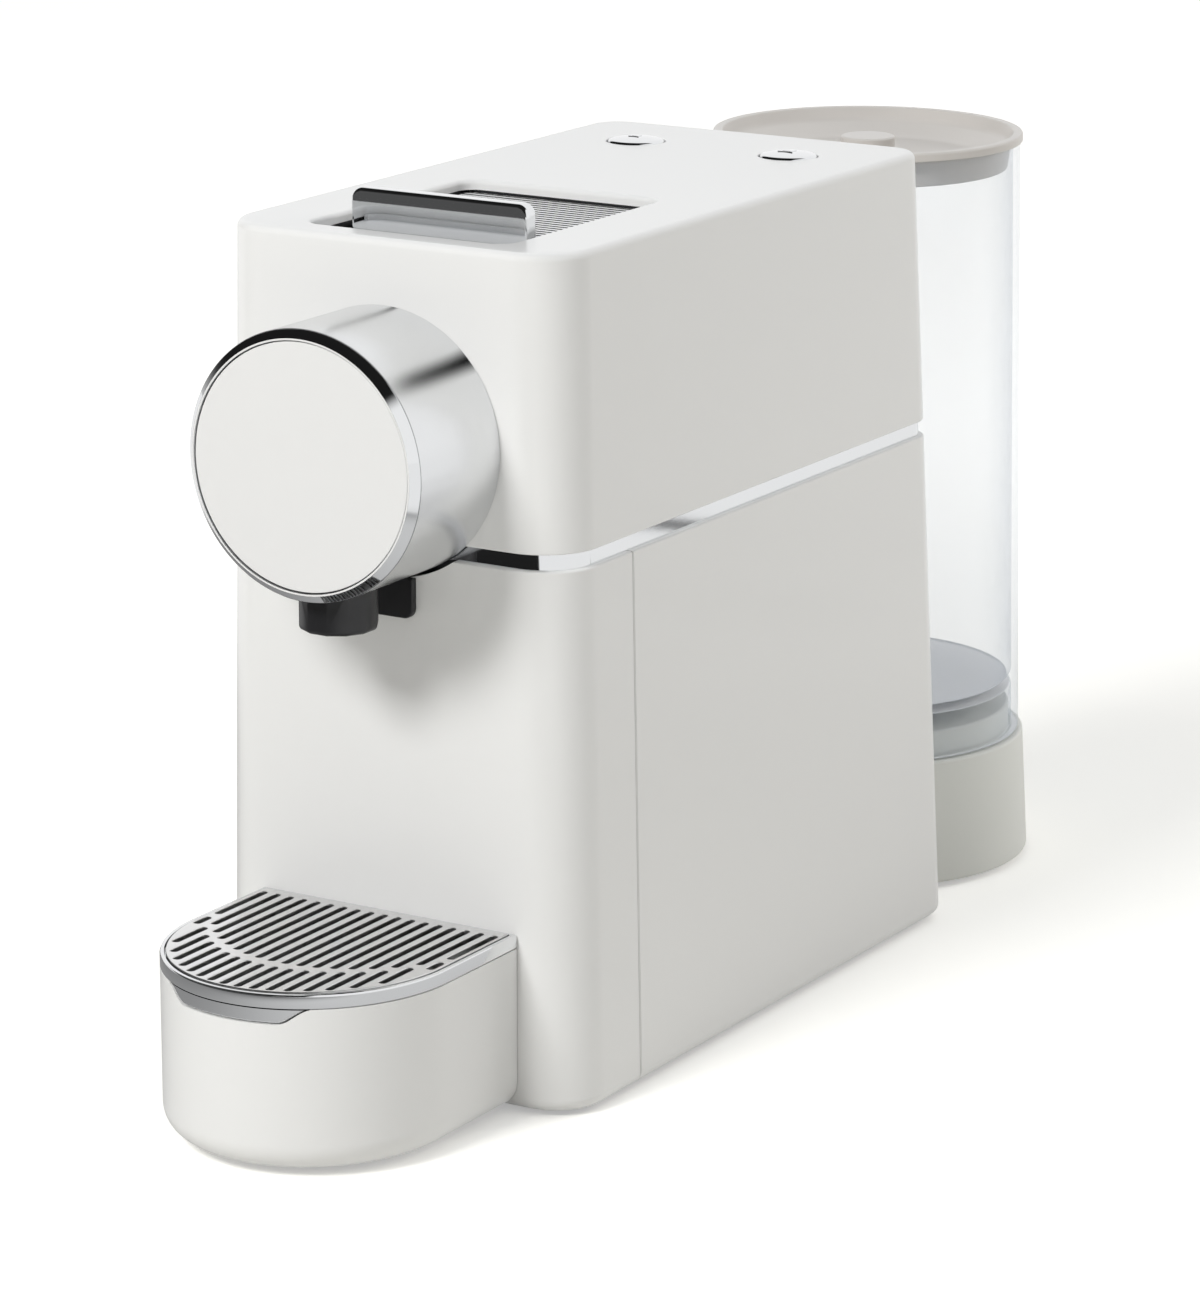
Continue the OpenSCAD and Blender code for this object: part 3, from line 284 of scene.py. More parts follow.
def arc(cx, cy, r, start, stop, steps):
    """Points of an arc, in degrees, anticlockwise when stop is larger."""
    return [(cx + r * math.cos(math.radians(start + (stop - start) * i / steps)),
             cy + r * math.sin(math.radians(start + (stop - start) * i / steps))) for i in range(steps + 1)]


def body_outline(z, inset):
    """The casing's outline at a height, anticlockwise seen from above."""
    side, back = side_of(z), back_of(z)
    front_x, rear_x, rear_y = side - FRONT_CORNER, side - REAR_CORNER, back - REAR_CORNER
    front_r, rear_r = FRONT_CORNER - inset, REAR_CORNER - inset
    right_front = arc(front_x, FRONT_CORNER, front_r, -90, 0, 20)
    right_rear = arc(rear_x, rear_y, rear_r, 0, 90, 16)
    half = right_front + right_rear
    return half + [(-x, y) for x, y in reversed(half)]


def rolled_box(half, front, length, r, grow=0, steps=10):
    """A rectangle with rounded corners from y = front, grown outwards on every side."""
    x, y0, y1 = half - r, front + r, front + length - r
    r = r + grow
    return (arc(x, y0, r, -90, 0, steps) + arc(x, y1, r, 0, 90, steps)
            + arc(-x, y1, r, 90, 180, steps) + arc(-x, y0, r, 180, 270, steps))


def at_height(points, z):
    """Flat points, all set at one height."""
    return [(x, y, z) for x, y in points]


def ring_of(bm, points):
    """Vertices in metres for points in mm that count y from the front face."""
    return [bm.verts.new((x / 1000, (y + FRONT_FACE) / 1000, z / 1000)) for x, y, z in points]


def skin(bm, rings, closed=True):
    """Quads between one ring of points and the next."""
    made = [ring_of(bm, r) if not isinstance(r[0], bmesh.types.BMVert) else r for r in rings]
    for low, high in zip(made, made[1:]):
        count = len(low)
        for i in range(count if closed else count - 1):
            j = (i + 1) % count
            bm.faces.new((low[i], low[j], high[j], high[i]))
    return made


def fill_between(bm, loops):
    """A flat face inside the first loop, with the other loops as its holes."""
    edges = []
    for loop in loops:
        for a, b in zip(loop, loop[1:] + loop[:1]):
            edges.append(bm.edges.get((a, b)) or bm.edges.new((a, b)))
    bmesh.ops.triangle_fill(bm, use_beauty=True, use_dissolve=False, edges=edges)


def as_piece(name, bm, material, body, nodes=(), crease=35):
    """Turns a mesh under construction into a shown piece that moves with its body."""
    bmesh.ops.remove_doubles(bm, verts=bm.verts, dist=1e-6)
    bmesh.ops.recalc_face_normals(bm, faces=bm.faces)
    mesh = bpy.data.meshes.new(name)
    bm.to_mesh(mesh)
    bm.free()
    mesh.polygons.foreach_set("use_smooth", [True] * len(mesh.polygons))
    mesh.set_sharp_from_angle(angle=math.radians(crease))
    piece = bpy.data.objects.new(name, mesh)
    scene.collection.objects.link(piece)
    mesh.materials.append(material)
    weigh = piece.modifiers.new("even_shading", "WEIGHTED_NORMAL")
    weigh.keep_sharp = True
    weigh.weight = 80
    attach(piece, body)
    if nodes:
        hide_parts(*nodes)
    return piece


def cut(piece, bm):
    """Takes the shape in bm out of a piece."""
    bmesh.ops.recalc_face_normals(bm, faces=bm.faces)
    mesh = bpy.data.meshes.new("cutter")
    bm.to_mesh(mesh)
    bm.free()
    cutter = bpy.data.objects.new("cutter", mesh)
    scene.collection.objects.link(cutter)
    bpy.context.view_layer.update()
    tool = piece.modifiers.new("cut", "BOOLEAN")
    tool.operation, tool.solver, tool.object = "DIFFERENCE", "EXACT", cutter
    weigh = piece.modifiers["even_shading"]
    weigh.show_viewport = False
    graph = bpy.context.evaluated_depsgraph_get()
    graph.update()
    result = bpy.data.meshes.new_from_object(piece.evaluated_get(graph))
    weigh.show_viewport = True
    piece.modifiers.remove(tool)
    bpy.data.objects.remove(cutter)
    old = piece.data
    result.name = old.name
    piece.data = result
    bpy.data.meshes.remove(old)
    piece.data.polygons.foreach_set("use_smooth", [True] * len(piece.data.polygons))
    piece.data.set_sharp_from_angle(angle=math.radians(35))


def surface_group():
    """Fine moulded or brushed surface: slow unevenness of gloss and tone, and a fine grain."""
    group = bpy.data.node_groups.new("moulded_surface", "ShaderNodeTree")
    for label, kind in (("Colour", "NodeSocketColor"), ("Gloss", "NodeSocketFloat"),
                        ("Mottle", "NodeSocketFloat"), ("Grain Size", "NodeSocketFloat"),
                        ("Grain Depth", "NodeSocketFloat"), ("Stretch", "NodeSocketVector")):
        group.interface.new_socket(label, in_out="INPUT", socket_type=kind)
    for label, kind in (("Colour", "NodeSocketColor"), ("Roughness", "NodeSocketFloat"),
                        ("Normal", "NodeSocketVector")):
        group.interface.new_socket(label, in_out="OUTPUT", socket_type=kind)
    given, out = group.nodes.new("NodeGroupInput"), group.nodes.new("NodeGroupOutput")
    place = group.nodes.new("ShaderNodeTexCoord")
    stretch = group.nodes.new("ShaderNodeVectorMath")
    stretch.operation = "MULTIPLY"
    slow, fine = group.nodes.new("ShaderNodeTexNoise"), group.nodes.new("ShaderNodeTexNoise")
    slow.inputs["Scale"].default_value = 22
    slow.inputs["Detail"].default_value = 3
    fine.inputs["Detail"].default_value = 2
    centred = group.nodes.new("ShaderNodeMath")
    centred.operation = "SUBTRACT"
    centred.inputs[1].default_value = 0.5
    tone, gloss = group.nodes.new("ShaderNodeMath"), group.nodes.new("ShaderNodeMath")
    tone.operation, gloss.operation = "MULTIPLY_ADD", "MULTIPLY_ADD"
    tone.inputs[2].default_value = 1
    shade = group.nodes.new("ShaderNodeVectorMath")
    shade.operation = "SCALE"
    bump = group.nodes.new("ShaderNodeBump")
    bump.inputs["Distance"].default_value = 0.0001
    link_nodes(group, [
        (place.outputs["Object"], stretch.inputs[0]), (given.outputs["Stretch"], stretch.inputs[1]),
        (place.outputs["Object"], slow.inputs["Vector"]), (stretch.outputs[0], fine.inputs["Vector"]),
        (given.outputs["Grain Size"], fine.inputs["Scale"]),
        (slow.outputs["Fac"], centred.inputs[0]),
        (centred.outputs[0], tone.inputs[0]), (given.outputs["Mottle"], tone.inputs[1]),
        (given.outputs["Colour"], shade.inputs[0]), (tone.outputs[0], shade.inputs["Scale"]),
        (shade.outputs[0], out.inputs["Colour"]),
        (centred.outputs[0], gloss.inputs[0]), (given.outputs["Mottle"], gloss.inputs[1]),
        (given.outputs["Gloss"], gloss.inputs[2]), (gloss.outputs[0], out.inputs["Roughness"]),
        (fine.outputs["Fac"], bump.inputs["Height"]), (given.outputs["Grain Depth"], bump.inputs["Strength"]),
        (bump.outputs["Normal"], out.inputs["Normal"]),
    ])
    return group


moulded_surface = surface_group()


def finish(name, colour, roughness, mottle=0.03, grain=1500, depth=0.02, stretch=(1, 1, 1), **sockets):
    """A material with the surface group in front of its shader."""
    material = bpy.data.materials.new(name)
    material.use_nodes = True
    nodes = material.node_tree.nodes
    shader = nodes["Principled BSDF"]
    surface = nodes.new("ShaderNodeGroup")
    surface.node_tree = moulded_surface
    for label, value in (("Colour", (*colour, 1)), ("Gloss", roughness), ("Mottle", mottle),
                         ("Grain Size", grain), ("Grain Depth", depth), ("Stretch", stretch)):
        surface.inputs[label].default_value = value
    link_nodes(material.node_tree, [
        (surface.outputs["Colour"], shader.inputs["Base Color"]),
        (surface.outputs["Roughness"], shader.inputs["Roughness"]),
        (surface.outputs["Normal"], shader.inputs["Normal"]),
    ])
    for socket, value in sockets.items():
        shader.inputs[socket.replace("_", " ")].default_value = value
    return material


white_abs = finish("white_abs", (0.86, 0.86, 0.855), 0.28, mottle=0.012, grain=2600, depth=0.03,
                   Coat_Weight=0.25, Coat_Roughness=0.12)

bm = bmesh.new()
LIP = 0.5
outer = [at_height(body_outline(BAND_TOP, WALL), BAND_TOP)]
outer += [at_height(body_outline(BAND_TOP, LIP * (1 - math.sin(t))), BAND_TOP + LIP * (1 - math.cos(t)))
          for t in (math.radians(a) for a in (0, 30, 60, 90))]
outer += [at_height(body_outline(z, 0), z) for z in (150, 180)]
outer += [at_height(body_outline(BODY_TOP - TOP_EDGE, TOP_EDGE * (1 - math.cos(t))),
                    BODY_TOP - TOP_EDGE + TOP_EDGE * math.sin(t))
          for t in (math.radians(a * 9) for a in range(11))]
outer_rings = skin(bm, outer)
UNDER = BODY_TOP - WALL


def lip_rings(outline, r):
    """From the top face over a rounded lip and down to the underside of the wall."""
    return [at_height(outline(r * (1 - math.sin(t))), BODY_TOP - r * (1 - math.cos(t)))
            for t in (math.radians(a * 11.25) for a in range(9))] + [at_height(outline(0), UNDER)]


HOLE_GAP, HOLE_EDGE = 0.4, 0.35


def hatch_slot(grow):
    """The opening in the top that the hatch slides in, grown on all sides."""
    return rolled_box(HATCH_HALF, HATCH_FRONT, HATCH_LENGTH, HATCH_CORNER, grow)


def button_hole(side):
    """A round hole of 60 points for the button on one side, as a function of how far it is grown."""
    return lambda grow: arc(side * BUTTON_X, BUTTON_Y, BUTTON_R + HOLE_GAP + grow, 0, 354, 59)


hatch_lip = skin(bm, lip_rings(hatch_slot, HATCH_LIP))
button_lips = [skin(bm, lip_rings(button_hole(side), HOLE_EDGE)) for side in (-1, 1)]
fill_between(bm, [outer_rings[-1], hatch_lip[0], button_lips[0][0], button_lips[1][0]])
inner_rings = skin(bm, [at_height(body_outline(z, WALL), z) for z in (UNDER, 180, BAND_TOP)])
fill_between(bm, [inner_rings[0], hatch_lip[-1], button_lips[0][-1], button_lips[1][-1]])
as_piece("upper_casing", bm, white_abs, "machine", ["upper_shell"])


# Front panel and lower side shell. Two white mouldings that meet in an open seam down each
# side; both hang under the trim band and stop just above the worktop.
SEAM, SEAM_GAP, SHELL_FOOT, BOTTOM_EDGE = 30.5, 0.4, 1.5, 3
HEAD_R, HEAD_Z = 32, 160.5
BAY_HALF, BAY_LOW, BAY_HIGH = 34.2, 5, 41.3
NECK_HALF, NECK_HIGH = 26.3, 28.3
LEAD_X, LEAD_Z, LEAD_R = -35, 20, 5.6
BEFORE_FRONT, PAST_FRONT, BEFORE_REAR, PAST_NECK, PAST_LEAD = -1, 3.5, 176, 206, 216


def split_wall(z, inset, keep_front):
    """The part of the body outline in front of the seam, or behind it, as an open path."""
    points = body_outline(z, inset)
    half = points[:len(points) // 2]
    edge_x = side_of(z) - inset
    if keep_front:
        right_side = [(edge_x, SEAM)] + [p for p in reversed(half) if p[1] < SEAM]
        return right_side + [(-x, y) for x, y in reversed(right_side)]
    right_side = [(edge_x, SEAM + SEAM_GAP)] + [p for p in half if p[1] > SEAM]
    return right_side + [(-x, y) for x, y in reversed(right_side)]


def wall_ring(z, inset, keep_front, edge=0.3):
    """Closed ring round the wall's thickness: outer path, then the inner one back."""
    outside, inside = split_wall(z, inset, keep_front), split_wall(z, WALL, keep_front)
    away = -edge if keep_front else edge
    end = outside[0]
    soft = [(end[0] - edge, end[1]), (end[0], end[1] + away)]
    far = [(-x, y) for x, y in reversed(soft)]
    return at_height(soft + outside[1:-1] + far + inside[::-1], z)


def close_wall(bm, ring, count_inside):
    """Caps the end of a wall with a strip of quads between its two paths."""
    outside, inside = ring[:-count_inside], ring[-count_inside:][::-1]
    outer_path = outside[1:-1]
    bm.faces.new((outside[0], outside[1], inside[0]))
    for i in range(len(outer_path) - 1):
        bm.faces.new((outer_path[i], outer_path[i + 1], inside[i + 1], inside[i]))
    bm.faces.new((outside[-1], inside[-1], outside[-2]))


def lower_wall(keep_front):
    """The lower wall in front of the seam, or behind it, with a rolled foot and no floor."""
    bm = bmesh.new()
    rings = []
    for a in range(0, 91, 15):
        t = math.radians(a)
        inset = min(BOTTOM_EDGE * (1 - math.sin(t)), WALL - 0.6)
        rings.append(wall_ring(SHELL_FOOT + BOTTOM_EDGE * (1 - math.cos(t)), inset, keep_front))
    rings += [wall_ring(z, 0, keep_front) for z in (40, 90, BAND_BOTTOM - LIP)]
    rings += [wall_ring(BAND_BOTTOM - LIP + LIP * math.sin(math.radians(a)),
                        LIP * (1 - math.cos(math.radians(a))), keep_front) for a in (30, 60, 90)]
    made = skin(bm, rings)
    count = len(split_wall(50, 0, keep_front))
    close_wall(bm, made[0], count)
    close_wall(bm, made[-1], count)
    return bm


def box_shape(low, high):
    """A box between two corners."""
    bm = bmesh.new()
    bmesh.ops.create_cube(bm, size=1)
    for v in bm.verts:
        v.co = Vector((low[0] if v.co.x < 0 else high[0],
                       (low[1] if v.co.y < 0 else high[1]) + FRONT_FACE,
                       low[2] if v.co.z < 0 else high[2])) / 1000
    return bm


def turned(bm, profile, centre, axis="z", steps=128):
    """Turns a closed profile of (radius, distance along the axis) about an axis, "z" or "y"."""
    rings = []
    for r, along in profile:
        ring = []
        for i in range(steps):
            c, s = math.cos(2 * math.pi * i / steps), math.sin(2 * math.pi * i / steps)
            ring.append((centre[0] + r * c, centre[1] + r * s, along) if axis == "z"
                        else (centre[0] + r * c, along, centre[1] + r * s))
        rings.append(ring)
    made = skin(bm, rings)
    count = len(made)
    for i in range(steps):
        j = (i + 1) % steps
        bm.faces.new((made[count - 1][i], made[count - 1][j], made[0][j], made[0][i]))
    bmesh.ops.remove_doubles(bm, verts=bm.verts, dist=1e-7)


def rod(r, front, back, centre, steps):
    """A level cylinder that runs back through the machine."""
    bm = bmesh.new()
    turned(bm, [(0, front), (r, front), (r, back), (0, back)], centre, "y", steps)
    return bm


front_wall = as_piece("front_panel_skin", lower_wall(True), white_abs, "machine",
                      ["front_panel"])
cut(front_wall, box_shape((-BAY_HALF, BEFORE_FRONT, BAY_LOW), (BAY_HALF, PAST_FRONT, BAY_HIGH)))
cut(front_wall, rod(HEAD_R + 1, BEFORE_FRONT, PAST_FRONT, (0, HEAD_Z), 160))
rear_wall = as_piece("lower_side_shell", lower_wall(False), white_abs, "machine",
                     ["lower_shell"])
cut(rear_wall, box_shape((-NECK_HALF, BEFORE_REAR, 0), (NECK_HALF, PAST_NECK, NECK_HIGH)))
cut(rear_wall, rod(LEAD_R, BEFORE_REAR, PAST_LEAD, (LEAD_X, LEAD_Z), 64))


# Trim band. A chromed plastic strip that runs right round the body in the groove between
# the upper and lower casing.
BAND_INSET, BAND_THICK = 1.4, 2.2
chrome = finish("chrome_plate", (0.80, 0.81, 0.82), 0.05, mottle=0.01, grain=900, depth=0.008, Metallic=1)
bm = bmesh.new()
rings = skin(bm, [at_height(body_outline(z, i), z) for z, i in (
    (BAND_BOTTOM, BAND_INSET + BAND_THICK), (BAND_BOTTOM, BAND_INSET), (BAND_TOP, BAND_INSET),
    (BAND_TOP, BAND_INSET + BAND_THICK))])
skin(bm, [rings[-1], rings[0]])
as_piece("trim_band_plated", bm, chrome, "machine", ["trim_band"])


# Brewing head. A chromed tube that stands on the front face, closed by a bevelled ring with
# a smooth pale disc pressed into it.
HEAD_FRONT, BEZEL_BACK, HEAD_WALL, RING_WIDTH, BEVEL, SLEEVE = -35.3, -31.3, 2, 2.5, 2, 0.12
disc_white = finish("disc_white", (0.80, 0.80, 0.80), 0.22, mottle=0.01, grain=2000, depth=0.01)


def softened(points, radii, steps=6):
    """A closed 2D outline with each corner rounded by its own radius."""
    result = []
    count = len(points)
    for i, r in enumerate(radii):
        here = Vector(points[i])
        before, after = Vector(points[i - 1]) - here, Vector(points[(i + 1) % count]) - here
        if r <= 0:
            result.append(tuple(here))
            continue
        a, b = before.normalized(), after.normalized()
        half = math.acos(max(-1, min(1, a.dot(b)))) / 2
        reach = r / math.tan(half)
        centre = here + (a + b).normalized() * (r / math.sin(half))
        start, stop = here + a * reach - centre, here + b * reach - centre
        sweep = math.atan2(start.x * stop.y - start.y * stop.x, start.dot(stop))
        for k in range(steps + 1):
            c, s = math.cos(sweep * k / steps), math.sin(sweep * k / steps)
            result.append((centre.x + start.x * c - start.y * s, centre.y + start.x * s + start.y * c))
    return result


def turned_piece(name, profile, radii, centre, axis, material, body, nodes, steps=160, crease=35):
    """A shown piece turned from a profile whose corners are softened first."""
    bm = bmesh.new()
    turned(bm, softened(profile, radii), centre, axis, steps)
    return as_piece(name, bm, material, body, nodes, crease)


satin_chrome = finish("satin_chrome", (0.80, 0.81, 0.82), 0.24, mottle=0.02, grain=900, depth=0.01,
                      Metallic=1)
bore, sleeve_r, sleeve_back = HEAD_R - HEAD_WALL, HEAD_R - SLEEVE, BEZEL_BACK + 0.15
turned_piece("head_barrel", [(HEAD_R, HEAD_FRONT + BEVEL), (HEAD_R, 0), (bore, 0), (bore, sleeve_back),
                             (sleeve_r, sleeve_back), (sleeve_r, HEAD_FRONT + BEVEL)],
             [0, 0.3, 0, 0, 0, 0], (0, HEAD_Z), "y", satin_chrome, "machine", ["head_shell"], 192)
ring_in, ring_out = HEAD_R - RING_WIDTH, HEAD_R - SLEEVE - 0.02
ring = turned_piece("head_ring", [(ring_out, BEZEL_BACK), (ring_in, BEZEL_BACK), (ring_in, HEAD_FRONT),
                                  (ring_in + 0.5, HEAD_FRONT), (HEAD_R - 0.02, HEAD_FRONT + BEVEL - 0.1),
                                  (ring_out, HEAD_FRONT + BEVEL)],
                    [0, 0, 0.1, 0.08, 0.2, 0], (0, HEAD_Z), "y", chrome, "machine", ["head_bezel"],
                    192)
ring.data.materials.append(disc_white)
for face in ring.data.polygons:
    face.material_index = 1 if face.normal.y < -0.97 else 0
DISC_FRONT, DISC_R = HEAD_FRONT + 0.35, ring_in - 0.25
turned_piece("head_face", [(0, DISC_FRONT), (DISC_R, DISC_FRONT), (DISC_R, BEZEL_BACK), (0, BEZEL_BACK)],
             [0, 0.2, 0, 0], (0, HEAD_Z), "y", disc_white, "machine", ["head_disc"], 192)


# Spout and its bracket. Twelve-sided black nozzle under the head, and the black tongue
# behind it that ties the outlet to the front of the machine.
SPOUT_Y, SPOUT_LOW, SPOUT_HIGH, SPOUT_R, SPOUT_BORE, SPOUT_GAP = 20, 119.5, 135, 9.4, 3, 0.1
TAB_HALF, TAB_LOW, TAB_HIGH, TAB_FRONT, TAB_BACK = 8.4, 118.4, 128.2, -1.7, 3.4
black_plastic = finish("black_plastic", (0.018, 0.018, 0.02), 0.38, mottle=0.05, grain=1800, depth=0.05)


def polygon_ring(r, z, sides=12, turn=15):
    """A level polygon round the spout's axis."""
    angles = [math.radians(turn + 360 * i / sides) for i in range(sides)]
    return [(r * math.cos(t), -SPOUT_Y + r * math.sin(t), z) for t in angles]


bm = bmesh.new()
profile = softened([(SPOUT_BORE, SPOUT_LOW), (SPOUT_R, SPOUT_LOW), (SPOUT_R, SPOUT_HIGH),
                    (SPOUT_BORE, SPOUT_HIGH)], [0.4, 1.2, 0, 0], 5)
rings = skin(bm, [polygon_ring(r, z) for r, z in profile])
skin(bm, [rings[-1], rings[0]])
upright_edges = [e for e in bm.edges
                 if abs(e.verts[0].co.z - e.verts[1].co.z) > 0.004 and e.calc_face_angle(0) > 0.3]
bmesh.ops.bevel(bm, geom=upright_edges, offset=0.0004, segments=2, affect="EDGES", profile=0.6)
nozzle = as_piece("nozzle", bm, black_plastic, "machine", ["spout"], 25)
cut(nozzle, rod(HEAD_R + SPOUT_GAP, -60, 10, (0, HEAD_Z), 192))


def grown(points, d):
    """A closed outline moved outwards by d, anticlockwise outlines only."""
    result = []
    count = len(points)
    for i in range(count):
        a = Vector(points[i]) - Vector(points[i - 1])
        b = Vector(points[(i + 1) % count]) - Vector(points[i])
        a.normalize()
        b.normalize()
        normal = Vector((a.y + b.y, -a.x - b.x)).normalized()
        reach = d / max(0.3, normal.dot(Vector((a.y, -a.x))))
        result.append((points[i][0] + normal.x * reach, points[i][1] + normal.y * reach))
    return result


def slab(bm, outline, low, high, low_edge, high_edge, put, holes=(), steps=4):
    """A plate from low to high with rounded edges and holes.

    put turns (u, v, height) into (x, y, z).
    """
    def layers(points, sign):
        rows = []
        for a in range(steps + 1):
            t = math.radians(90 * a / steps)
            rows.append([put(u, v, low + low_edge * (1 - math.cos(t)))
                         for u, v in grown(points, -sign * low_edge * (1 - math.sin(t)))])
        for a in range(steps + 1):
            t = math.radians(90 * a / steps)
            rows.append([put(u, v, high - high_edge * (1 - math.sin(t)))
                         for u, v in grown(points, -sign * high_edge * (1 - math.cos(t)))])
        return skin(bm, rows)
    body_rings = layers(outline, 1)
    hole_rings = [layers(h, -1) for h in holes]
    fill_between(bm, [body_rings[0]] + [h[0] for h in hole_rings])
    fill_between(bm, [body_rings[-1]] + [h[-1] for h in hole_rings])


def upright(u, v, height):
    """A plate standing across the machine: u to the right, v up, height towards the back."""
    return (u, height, v)


def lying(u, v, height):
    """A plate that lies level: u to the right, v towards the back."""
    return (u, v, height)


def panel(half, low, high, radii, steps=6):
    """A rectangle about the middle line, with its corners rounded from the lower left one on."""
    return softened([(-half, low), (half, low), (half, high), (-half, high)], radii, steps)


bm = bmesh.new()
slab(bm, panel(TAB_HALF, TAB_LOW, TAB_HIGH, [2.5, 2.5, 0, 0]), TAB_FRONT, TAB_BACK, 0.4, 0, upright)
as_piece("outlet_tongue", bm, black_plastic, "machine", ["outlet_bracket"])


# Sliding hatch. A chromed upright handle on a carriage of fine satin slats, which run back
# under the top when the machine is opened for a capsule.
HANDLE_HALF, HANDLE_FRONT, HANDLE_BACK, HANDLE_TOP = 24.75, 23.5, 27.7, 214.6
SLAT_LOW, SLAT_TOP = 203.5, 204.7
CROWN_FROM, CROWN_R, CROWN_STEPS, CROWN_RISE = 210.3, 36, 9, 0.45
bm = bmesh.new()
slab(bm, panel(HANDLE_HALF, SLAT_LOW, HANDLE_TOP, [0, 0, 3, 3], 10), HANDLE_FRONT, HANDLE_BACK, 0.9, 0.9,
     upright, steps=6)
for step in range(CROWN_STEPS):
    bmesh.ops.bisect_plane(bm, geom=bm.verts[:] + bm.edges[:] + bm.faces[:], plane_no=(0, 0, 1),
                           plane_co=(0, 0, (CROWN_FROM + step * CROWN_RISE) / 1000))
for v in bm.verts:
    rise, y = v.co.z * 1000 - CROWN_FROM, v.co.y * 1000 - FRONT_FACE
    if rise > 0 and y < (HANDLE_FRONT + HANDLE_BACK) / 2:
        v.co.y += rise ** 2 / (2 * CROWN_R) / 1000
as_piece("handle", bm, chrome, "hatch", ["hatch_handle"])

satin_slat = finish("satin_slat", (0.80, 0.80, 0.80), 0.3, mottle=0.02, grain=700, depth=0.03,
                    stretch=(0.15, 3, 3))
PITCH, SLAT_WIDTH, SLAT_HALF, SHUTTER_BACK = 2.45, 1.35, 27.6, 88.7
SILL_FRONT, SILL_TOP, SILL_BACK, SILL_GAP, SILL_WIDTH = 9.3, 205.9, 22.5, 0.4, 1


def bar(bm, half, front, back, low, high, r):
    """A bar across the machine with rounded upper edges."""
    section = softened([(front, low), (back, low), (back, high), (front, high)], [0, 0, r, r], 4)
    rings = skin(bm, [[(x, y, z) for y, z in section] for x in (-half, half)])
    for ring in rings:
        bm.faces.new(ring)


bm = bmesh.new()
y = HANDLE_BACK + 1
while y <= SHUTTER_BACK - SLAT_WIDTH:
    bar(bm, SLAT_HALF, y, y + SLAT_WIDTH, SLAT_LOW, SLAT_TOP, 0.06)
    y += PITCH
bar(bm, SLAT_HALF, SILL_FRONT, HANDLE_FRONT - 0.1, SLAT_LOW, SLAT_TOP, 0.3)
# A light sill that follows the front edge of the slot, up to just before the handle.
pairs = list(zip(hatch_slot(-SILL_GAP), hatch_slot(-SILL_GAP - SILL_WIDTH)))
first = next(i for i in range(len(pairs)) if pairs[i - 1][0][1] >= SILL_BACK > pairs[i][0][1])
pairs = [pair for pair in pairs[first:] + pairs[:first] if pair[0][1] < SILL_BACK]
sill_low = SLAT_TOP - 0.2
sill = skin(bm, [[(*near, sill_low), (*near, SILL_TOP), (*off, SILL_TOP), (*off, sill_low)]
                 for near, off in pairs])
for end in (sill[0], sill[-1]):
    bm.faces.new(end)
shutter = as_piece("shutter_slats", bm, satin_slat, "hatch", ["hatch_slats"])
# Behind the handle the slats' sides and undersides take the black plastic: painted shade in the gaps between
# the slats.
shutter.data.materials.append(black_plastic)
for face in shutter.data.polygons:
    before_handle = face.center.y * 1000 - FRONT_FACE < HANDLE_FRONT - 0.5
    face.material_index = 0 if face.normal.z > 0.3 or before_handle else 1


# Buttons. Two chromed domes, for a small cup and a large one, each with its raised sign.
DOME_TOP, DOME_RISE, ROLL = 209.2, 0.9, 1.1
CAP_LOW, CAP_FLANGE, FLANGE_THICK, STEM_LOW, STEM_R = 203.7, 8.5, 1.5, 195.7, 4.5
SIGN_DEEP, SIGN_RISE = 0.7, 0.12


def cup_sign(half):
    """A cup seen from its side: the bowl, and the saucer under it."""
    bowl = [(-0.55, -0.45), (0.55, -0.45), (0.8, 0.6), (-0.8, 0.6)]
    saucer = [(-1, -0.85), (1, -0.85), (1, -0.65), (-1, -0.65)]
    return [[(half * u, half * v) for u, v in shape] for shape in (bowl, saucer)]


dome_r = (BUTTON_R ** 2 + DOME_RISE ** 2) / (2 * DOME_RISE)
for side, cup_half, body, node, label in ((-1, 1.5, "left_key", "left_button", "small_cup_key"),
                                          (1, 2.1, "right_key", "right_button", "large_cup_key")):
    profile = [(dome_r * math.sin(t), DOME_TOP - dome_r * (1 - math.cos(t)))
               for t in (math.asin((BUTTON_R - ROLL) / dome_r) * i / 14 for i in range(15))]
    last = profile[-1][1]
    profile += [(BUTTON_R - ROLL * (1 - math.sin(t)), last - ROLL * (1 - math.cos(t)))
                for t in (math.radians(30 + a * 10) for a in range(7))]
    profile += [(BUTTON_R, CAP_LOW + FLANGE_THICK), (CAP_FLANGE, CAP_LOW + FLANGE_THICK),
                (CAP_FLANGE, CAP_LOW), (STEM_R, CAP_LOW), (STEM_R, STEM_LOW), (0, STEM_LOW)]
    bm = bmesh.new()
    turned(bm, profile, (side * BUTTON_X, BUTTON_Y), "z", 96)
    for sign in cup_sign(cup_half):
        slab(bm, [(side * BUTTON_X + u, BUTTON_Y + v) for u, v in sign], DOME_TOP - SIGN_DEEP,
             DOME_TOP + SIGN_RISE, 0, SIGN_RISE / 2, lying)
    as_piece(label, bm, chrome, body, [node])


# Drip tray. A D-shaped white drawer with a rolled bottom edge; the chromed drip cup hangs in
# it by its rim, with a finger tongue at the front, and carries the slotted steel grille.
TRAY_HALF, TRAY_STRAIGHT, TRAY_ROUND, TRAY_TOP, RIM, RIM_WIDTH = 36.2, 30.5, 38.4, 45.3, 41.7, 1.2
TRAY_BACK, TRAY_FOOT, TRAY_EDGE, TRAY_WALL = -0.3, 1.5, 7, 2.4
TONGUE_HALF, TONGUE_TIP, TONGUE_DROP, TONGUE_GAP = 20, 12.5, 3.4, 0.3


